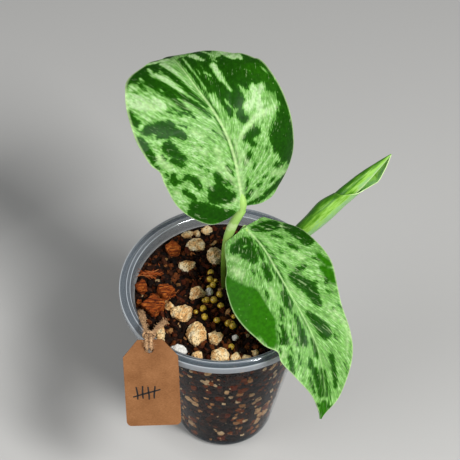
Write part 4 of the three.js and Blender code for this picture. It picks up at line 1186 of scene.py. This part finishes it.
LOWER_PAINT = {
    "rib": 0.6,
    "dent": (1, 63, 0.12, 4.5),
    "base": -0.36,
    "pale": -0.35,
    "dark": [
        (7, 16, 6.4, 6, 2.4, 4.4), (6.4, 6, 11, 3.6, 4, 2.6), (5, 28, 4, 22, 1.9, 1.5),
        (3.2, 43.5, 2.4, 38, 2.2, 1.5), (1.0, 36, 0.9, 28, 0.8, 0.7),
        (5.4, 63.6, 4.2, 57.4, 2.1, 1.5), (3.8, 56, 3, 50, 1.3, 1.0),
        (14, 58.6, 12, 52.2, 2.6, 1.6), (6, 76, 5.4, 73, 1.6, 1.1), (1.6, 72, 1.2, 64, 1.3, 0.9),
        (15.2, 77, 14.2, 68, 1.3, 1.1), (3, 92, 4.4, 79, 1.1, 1.9), (1.2, 92, 0.8, 79, 0.8, 0.9),
        (-5.8, 63.2, -5.2, 59, 3.2, 2.9), (-5.2, 60, -2.8, 52, 2.6, 1.3),
        (-9, 50, -9.4, 42, 1.8, 3.6), (-9.4, 42, -5, 33, 3.6, 2.2), (-12.5, 31.4, -9, 31, 1.1, 1.2),
        (-14, 21, -12.4, 18, 1.2, 1.2), (-11, 13, -8.4, 10.4, 1.0, 1.1),
        (-14.5, 5, -9, 4, 3.6, 4.2), (-9, 5, -3.6, 2.6, 3, 2.2), (-22.5, 18, -19, 10.5, 4.4, 3.2),
        (-25, 13, -20, 9, 3, 2.6), (-5.4, 88, -5.2, 74, 1.0, 1.3), (-1.2, 92, -1.0, 80, 0.6, 0.5),
        (8, 46.6, 7.4, 43, 0.8, 0.6), (10, 35.6, 9.6, 33, 0.7, 0.6), (0.8, 22, 0.7, 8, 0.45, 0.4),
        (-0.8, 33, -0.7, 8, 0.45, 0.4), (-4.6, 26.6, -3.6, 24.4, 0.7, 0.6),
        (-6.8, 20, -6.4, 18, 0.7, 0.6), (3, 18, 2.4, 12, 1.2, 0.8), (0, 104, 0, 97, 3.4, 2.6),
        (-4, 97, 4, 97, 1.0, 1.0), (-13, 41, -9, 37.4, 1.2, 1.0), (-20, 41, -17.6, 43.6, 1.4, 0.8),
        (-21, 31, -19, 29, 0.8, 0.6), (-17, 49, -16, 47, 0.5, 0.4), (-18, 57, -17.4, 54, 0.4, 0.3),
        (-15, 57, -14.4, 55, 0.3, 0.3), (-10, 67.6, -9.6, 65, 0.4, 0.3),
        (8.6, 64, 8.0, 59, 0.45, 0.35), (9.6, 58.4, 8.6, 55, 0.4, 0.3),
        (7.4, 56, 6.4, 51, 0.4, 0.3), (10, 49, 9, 46, 0.6, 0.4), (4.6, 48.4, 3.6, 45.4, 0.4, 0.3),
        (6, 90, 7.6, 82, 0.5, 0.6), (10.6, 74, 10, 68, 0.35, 0.3), (8.6, 26, 8.2, 23, 0.4, 0.3),
        (10.4, 22.6, 10, 20.6, 0.5, 0.4), (12.6, 66.6, 12.2, 63.6, 0.3, 0.3),
        (17.6, 64.6, 17, 62, 0.7, 0.6), (-3, 96, -2.4, 86, 0.4, 0.3), (1.6, 30, 1.2, 23, 0.35, 0.4),
        (2.8, 11, 1.6, 5, 0.5, 0.4), (-2.6, 22, -1.4, 14, 0.3, 0.3), (0.9, 60, 0.8, 50, 0.3, 0.3),
        (-12, 83, -10.6, 78, 0.4, 0.3), (9, 12.6, 11, 9.6, 1.2, 1.0),
    ],
    "light": [
        (13.6, 56, 12.4, 50, 0.35, 0.3), (5.6, 7, 7, 6.4, 0.6, 0.5), (13, 62, 17, 60, 0.5, 0.8),
        (-12.6, 6.6, -11.6, 5.6, 0.4, 0.3), (-7.6, 4, -6.6, 2, 0.5, 0.4),
        (16.4, 58, 13, 51, 0.4, 0.3),
    ],
    "cream": [
        (-17, 69, -14.6, 56, 1.6, 1.0), (-12.6, 60, -12, 52, 0.8, 0.6),
        (19.4, 76, 19.6, 62, 1.3, 1.5), (17, 66, 15.4, 62, 1.6, 1.0),
        (-3.4, 48, -4.4, 42, 1.0, 0.9), (-7, 26, -6.4, 22, 1.2, 1.2), (16, 19, 18, 12, 2.6, 2.0),
        (13, 10, 16, 4, 1.6, 1.4), (-4, 14, -3, 8, 0.9, 0.8), (0.3, 50, 0.3, 78, 0.5, 0.5),
        (-18, 5, -16, 8, 0.9, 0.8), (10, 62, 11.6, 66, 0.6, 0.6), (-14, 26, -12, 22, 2, 1.6),
        (7.6, 38, 7, 33, 1.4, 1.2), (-16, 66, -13, 74, 1.0, 0.8), (0, 0, 0, 40, 0.8, 0.4),
        (6, 53, 8, 58, 0.6, 0.5), (-2.4, 44, -1.4, 30, 0.7, 0.4),
    ],
    "plain": [
        (19, 56.5, 18, 46, 3.0, 5.6), (18.5, 46, 20, 32, 6.4, 7.6), (20, 32, 23.4, 21, 7.4, 3.6),
        (23.4, 21, 23.6, 13, 3.4, 1.4), (24, 46, 26, 30, 5, 5), (-22.6, 44, -20, 36, 3.4, 2.0),
        (-24, 36, -22.4, 29, 2.0, 1.6), (0, 104, 0, 96, 3.4, 1.6),
    ],
    "plain_soft": 0.6,
    "plain_share": 1,
}
# The blades' thickness and relief, in millimetres. HALVES_APART keeps the pattern on one half of
# a blade from mirroring the other's.
LEAF_THICK = 0.55
VEIN_SPACING = 7.5
HALVES_APART = 300
QUILT_HEIGHT = 0.24
RIPPLE_HEIGHT = 0.35
GROOVE_DEPTH = 0.35
GROOVE_HALF = 1.2
BLADE_GRID = 150


def make_blade(blade, paint):
    """A blade as a curved sheet: quilted between its side veins, grooved along its midrib, with
    a rippled margin, and its colours kept at its points."""
    piece, s, u = grid_sheet(BLADE_GRID, BLADE_GRID)
    v = np.abs(2 * s - 1)
    left = s < 0.5
    edge = np.where(left[:, None], outline_at(blade["left"], u), outline_at(blade["right"], u))
    length = blade_points(blade, np.zeros(1), np.zeros(1), np.zeros(1))[1]
    start = length * (0.03 * u + 0.97 * np.maximum(0, (u - 0.27) / 0.73) ** 1.25)
    side, height, depth, wide = paint["dent"]
    dent = 1 - depth * np.exp(-((edge[:, 1] - height) / wide) ** 2) * (left == (side < 0))
    x = np.where(left, -1, 1) * v * edge[:, 0] * dent
    y = start + v * (edge[:, 1] - start)
    climb = 2.5 + 5 * np.clip(y / length, 0, 1)
    vein_side = y - climb * np.abs(x) ** 0.6 + np.where(left, 0, HALVES_APART)
    rib_width = paint["rib"] * (0.95 - 0.6 * np.clip(y / length, 0, 1))
    quilt = np.abs(np.sin(math.pi * vein_side / VEIN_SPACING))
    quilt = QUILT_HEIGHT * quilt ** 0.5 * np.clip(v * 4, 0, 1) * np.clip((1 - v) * 6, 0, 1)
    ripple = RIPPLE_HEIGHT * np.sin(1.3 * 110 * u / 11.3 + np.where(left, 0, 2)) * v ** 3
    groove = np.exp(-(x / GROOVE_HALF) ** 2) * np.clip(y / 8, 0, 1)
    lift = quilt - GROOVE_DEPTH * groove + ripple * np.clip(v * 2 - 0.8, 0, 1)
    places, _ = blade_points(blade, x, y, lift)
    shape_to(piece, places)
    dark = strokes_field(paint["dark"], x, y, 1.6)
    light = strokes_field(paint["light"], x, y, 0.9)
    plain = strokes_field(paint["plain"], x, y, paint["plain_soft"])
    green = np.minimum(np.maximum(dark, paint["base"]), -light)
    cream = np.maximum(strokes_field(paint["cream"], x, y, 2.8), paint["pale"])
    margin = np.clip((v - 0.975) / 0.02, 0, 1)
    rib = np.clip(1.4 * np.exp(-(x / rib_width) ** 2) - 0.3, 0, 1)
    mark(piece, "green", green)
    mark(piece, "cream", cream * 0.6)
    mark(piece, "plain", np.clip(0.5 + plain / 2, 0, 1) ** 1.5 * paint["plain_share"])
    rib *= paint["rib"] * np.clip(1.3 - y / length, 0, 1)
    mark(piece, "rib", np.maximum(0.85 * rib, 0.65 * margin))
    mark(piece, "vein", np.stack([vein_side, np.abs(x), 0 * v], 1))
    piece.data.materials.append(blade_top)
    piece.data.materials.append(blade_under)
    thicken(piece, LEAF_THICK, 1)
    return piece


def settle_leaf(piece, name, node):
    """Settles a blade and gives each face back the material that thickening gave it."""
    which = [f.material_index for f in piece.data.polygons]
    settle(piece, name, [blade_top, blade_under], smooth=60)
    piece.data.polygons.foreach_set("material_index", which)
    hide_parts(node)


settle_leaf(make_blade(UPPER_BLADE, UPPER_PAINT), "upper_leaf_blade", "leaf_upper")
settle_leaf(make_blade(LOWER_BLADE, LOWER_PAINT), "lower_leaf_blade", "leaf_lower")


# Leaf stalks, and the rib that carries each on under its blade
UPPER_STALK = [(1.2, 3.7, 98.5), (0.9, 3.4, 103.2), (0.6, 3.1, 115), (0.9, 2.8, 128), (2.0, 2.9, 139.5),
               (3.6, 3.1, 146.5), (5.9, 3.7, 153), (8.0, 4.5, 157), (8.9, 5.0, 158.7)]
LOWER_STALK = [(4.6, 4.4, 98.5), (5.1, 4.7, 103.3), (6.2, 5.6, 118), (8.0, 6.2, 133), (9.8, 5.8, 142.2),
               (10.9, 4.4, 145.8)]


def stalk(points, radii, name, node):
    """A leaf stalk, with the shallow groove that runs up it."""
    def section(t, angle, length):
        groove = 1 - 0.1 * np.exp(-((angle - 4.4) / 0.5) ** 2)
        width = along_row(radii, t) * groove
        return width, width

    piece = rod(points, section, 28, 130)
    places = points_of(piece)
    height = (places[:, 2] - points[0][2]) / (points[-1][2] - points[0][2])
    mark(piece, "share", np.clip(height, 0, 1))
    settle(piece, name, [stalk_skin], smooth=60)
    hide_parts(node)


stalk(UPPER_STALK, (2.15, 2.0, 2.0, 2.1, 2.35, 2.2), "upper_leaf_stalk", "petiole_upper")
stalk(LOWER_STALK, (2.2, 2.0, 1.9, 1.8, 1.7), "lower_leaf_stalk", "petiole_lower")


def under_rib(blade, before, name, thick, sunk_at):
    """The midrib: round where the stalk ends, then sunk under the blade and tapering away."""
    def radius_at(y):
        return np.interp(y, [0, 12, 30, 60, 90], [thick, 0.72 * thick, 0.9, 0.6, 0.3])

    def section(t, angle, length):
        width = radius_at(t * length - ahead_of_blade)
        return width, width

    y = np.array([0.6, 3, 7, 13, 22, 34, 48, 62, 76, 88])
    under = np.clip(y / sunk_at, 0, 1)
    sink = 0.1 * (1 - under) - (radius_at(y) + 0.35) * under
    run, _ = blade_points(blade, np.zeros(len(y)), y, sink)
    ahead_of_blade = float(np.linalg.norm(np.array(before[0]) - run[0]))
    piece = rod([*before, *run], section, 20, 160)
    mark(piece, "share", np.full(len(piece.data.vertices), 0.95))
    settle(piece, name, [stalk_skin], smooth=60)


under_rib(UPPER_BLADE, [(8.0, 4.5, 157.0), (9.1, 5.1, 160.0)], "upper_leaf_midrib", 1.95, 7)
under_rib(LOWER_BLADE, [(10.3, 5.3, 144.0), (11.0, 3.7, 146.6)], "lower_leaf_midrib", 1.2, 1)


# The new leaf: its stalk, and the blade rolled round itself into a point
NEW_LEAF = [(6.4, 9.3, 104.6), (17.5, 10.9, 112.6), (28.5, 12.7, 121.8), (40.2, 14.8, 133.3),
            (53.5, 17.2, 148.7), (66.8, 19.6, 164.1), (80.1, 22, 179.4)]
TOWARDS_CAMERA = np.array([0, -math.cos(VIEW_DOWN), math.sin(VIEW_DOWN)])
# The free edge of the outer turn: the shares of the leaf's length at which it comes to each
# angle round the roll
EDGE_CROSSES = (0.6, 0.658, 0.682, 0.7, 0.737, 0.76, 0.778, 1)
EDGE_TURNS = (-170, -90, -45, -12, 25, 60, 92, 100)
NEW_LEAF_LENGTH = 108


def rolled_sheet(turn_at, radius_at, start, across, rows, thick, margin, edge_shadow):
    """A sheet wound about the new leaf's axis, from a share `start` of its length to the tip.
    turn_at and radius_at give the angle, in degrees, and radius at each (across, along). The
    angle is 0 at the front and grows towards the lower right. The pale margin, partly a painted
    highlight along the free edge, fades over `margin` columns of points, and edge_shadow is how
    much painted shadow darkens the sheet under and just beyond the outer turn's free edge. The
    share that the colour follows runs from dark on the left to pale on the right, partly painted
    light and shade, and takes painted shade where the sheet turns away from the front."""
    piece, s, t = grid_sheet(across, rows)
    f = start + (1 - start) * t
    places, ahead, _ = evenly(smooth_path(NEW_LEAF), 600)
    front = TOWARDS_CAMERA - ahead * (ahead @ TOWARDS_CAMERA)[:, None]
    front /= np.linalg.norm(front, axis=1)[:, None]
    right = np.cross(ahead, front)
    low, on = part_way(len(places), f)
    middle = places[low] * (1 - on) + places[low + 1] * on
    angle = np.radians(turn_at(s, f))
    radius = radius_at(s, f)
    place = middle + front[low] * (radius * np.cos(angle))[:, None]
    place += right[low] * (radius * np.sin(angle))[:, None]
    shape_to(piece, place)
    # Painted shade: darker where the sheet turns away from the front, and under and just beyond the outer
    # turn's free edge
    sunk = np.clip(1 - (f - np.interp(np.degrees(angle), EDGE_TURNS, EDGE_CROSSES)) / 0.05, 0, 1)
    shade = 0.25 * np.clip(-np.cos(angle), 0, 1) + edge_shadow * sunk
    # Dark left and pale right: partly the leaf's own colour, partly painted light and shade
    mark(piece, "share", (np.sin(angle) + 1) / 2 - shade)
    # The pale margin, partly a painted highlight along the free edge, fades in towards the tip
    edge = np.clip(1 - s * across / margin, 0, 1) * np.clip((f - 0.7) / 0.05, 0.1, 1)
    mark(piece, "edge", edge)
    mark(piece, "vein", np.stack([radius * angle, f * NEW_LEAF_LENGTH, 0 * f], 1))
    thicken(piece, thick)
    return piece


def outer_turn_at(s, f):
    """Closed all round below; the free edge crosses the front, then runs up the right side."""
    edge = np.interp(f, EDGE_CROSSES, EDGE_TURNS)
    return edge + (204 - edge) * s


def outer_radius_at(s, f):
    wrap_radius = np.interp(f, [0.27, 0.35, 0.41, 0.5, 0.57, 0.66, 0.75, 0.857, 0.94, 1],
                            [2.3, 3.2, 4.1, 4.6, 4.7, 4.2, 3.9, 3.0, 1.6, 0.12])
    lip = np.interp(f, [0.66, 0.69, 0.77, 0.857, 0.88, 0.94, 1], [0, 0.4, 0.6, 3.0, 2.9, 1.6, 0.1])
    on_left = (1 - np.sin(np.radians(outer_turn_at(s, f)))) / 2
    shoulder = 0.8 * np.exp(-((f - 0.565) / 0.06) ** 2) - 0.4 * np.exp(-((f - 0.66) / 0.03) ** 2)
    return wrap_radius + lip * (1 - s) ** 1.3 + shoulder * on_left


def inner_turn_at(s, f):
    return 64 - 420 * s


def inner_radius_at(s, f):
    roll_radius = np.interp(f, [0.5, 0.6, 0.7, 0.8, 0.857, 0.94, 1],
                            [3.3, 3.75, 3.75, 3.25, 2.6, 1.25, 0.1])
    return roll_radius * (1 - 0.1 * s)


outer_turn = rolled_sheet(outer_turn_at, outer_radius_at, 0.27, 110, 170, 0.35, 1.6, 0)
settle(outer_turn, "new_leaf_outer_turn", [roll_skin], smooth=50)
# The inner roll takes painted shadow by the outer turn's free edge
inner_roll = rolled_sheet(inner_turn_at, inner_radius_at, 0.5, 110, 110, 0.3, 6, 0.4)
settle(inner_roll, "new_leaf_inner_roll", [roll_skin], smooth=50)
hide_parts("leaf_new_rolled")


def make_new_stalk():
    """The new leaf's own stalk, from inside the mix up into the roll."""
    def section(t, angle, length):
        width = along_row((2.7, 2.5, 2.2, 2.1, 2.0, 2.0, 2.1, 2.3), t)
        return width, width

    path, _, _ = evenly(smooth_path(NEW_LEAF), 400)
    in_mix = [(3.6, 8.0, 95.5), (4.1, 8.5, 100.5)]
    piece = rod([*in_mix, *path[:136:15]], section, 24, 80)
    mark(piece, "share", np.full(len(piece.data.vertices), 0.5))
    return piece


settle(make_new_stalk(), "new_leaf_stalk", [stalk_skin], smooth=60)


# Carried over from the solid model: the stem's stock and the tag
for node, skin in (("stem_and_roots", stock_skin), ("label_tag", kraft)):
    part = bpy.data.objects[node]
    for place in part.material_slots:
        place.material = skin


# Plain pen strokes on the tag: a tally of five, each from one place to another
TALLY = [(-7.2, 0.4, -6.9, -6.3), (-4.4, 0.8, -4.1, -5.9), (-1.4, 0.3, -1.5, -6.5),
         (1.6, 0.6, 1.3, -6.0), (-9.0, -4.9, 4.2, -1.3)]
TALLY_DOWN = 20
PEN_HALF = 0.42


def tally_marks():
    strokes = []
    for x0, y0, x1, y1 in TALLY:
        piece, s, t = grid_sheet(3, 24)
        long = math.hypot(x1 - x0, y1 - y0)
        half = PEN_HALF * (0.8 + 0.2 * np.sin(math.pi * t)) * (2 * s - 1)
        right = x0 + (x1 - x0) * t + 0.2 * np.sin(4 * t + x0) - half * (y1 - y0) / long
        up = y0 + (y1 - y0) * t + half * (x1 - x0) / long - TALLY_DOWN
        shape_to(piece, [on_tag(r, u, 0.05) for r, u in zip(right, up)])
        strokes.append(piece)
    hold(strokes[0])
    for stroke in strokes:
        stroke.select_set(True)
    bpy.ops.object.join()
    return strokes[0]


settle(tally_marks(), "pen_tally", [ink])


# Floor, light and air
FLOOR_SIZE = 3
FLOOR_DROP = 0.0005
bpy.ops.mesh.primitive_plane_add(size=FLOOR_SIZE)
floor = bpy.context.object
floor.name = "floor"
floor.location.z = -FLOOR_DROP
floor_paint, floor_tree = material_tree("matt_pale_floor")
finish_material(floor_tree, add(floor_tree, "BsdfPrincipled", {
    "Base Color": rgb("#c9c8c5"), "Roughness": 0.9}))
floor.data.materials.append(floor_paint)


AIM = Vector((0, 0, 0.12))


def soft_light(name, place, size, power):
    """A white square lamp that faces the plant."""
    lamp = bpy.data.lights.new(name, "AREA")
    lamp.energy = power
    lamp.size = size
    holder = new_object(name, lamp)
    holder.location = place
    holder.rotation_euler = (AIM - Vector(place)).to_track_quat("-Z", "Y").to_euler()


soft_light("key", (0.5, -0.5, 0.95), 0.3, 12)
soft_light("fill", (-0.7, -0.3, 0.6), 0.5, 3)
world = bpy.data.worlds.new("studio_air")
world.use_nodes = True
air = world.node_tree.nodes["Background"].inputs
air["Color"].default_value = rgb("#dfe3e8")
air["Strength"].default_value = 0.17
bpy.context.scene.world = world
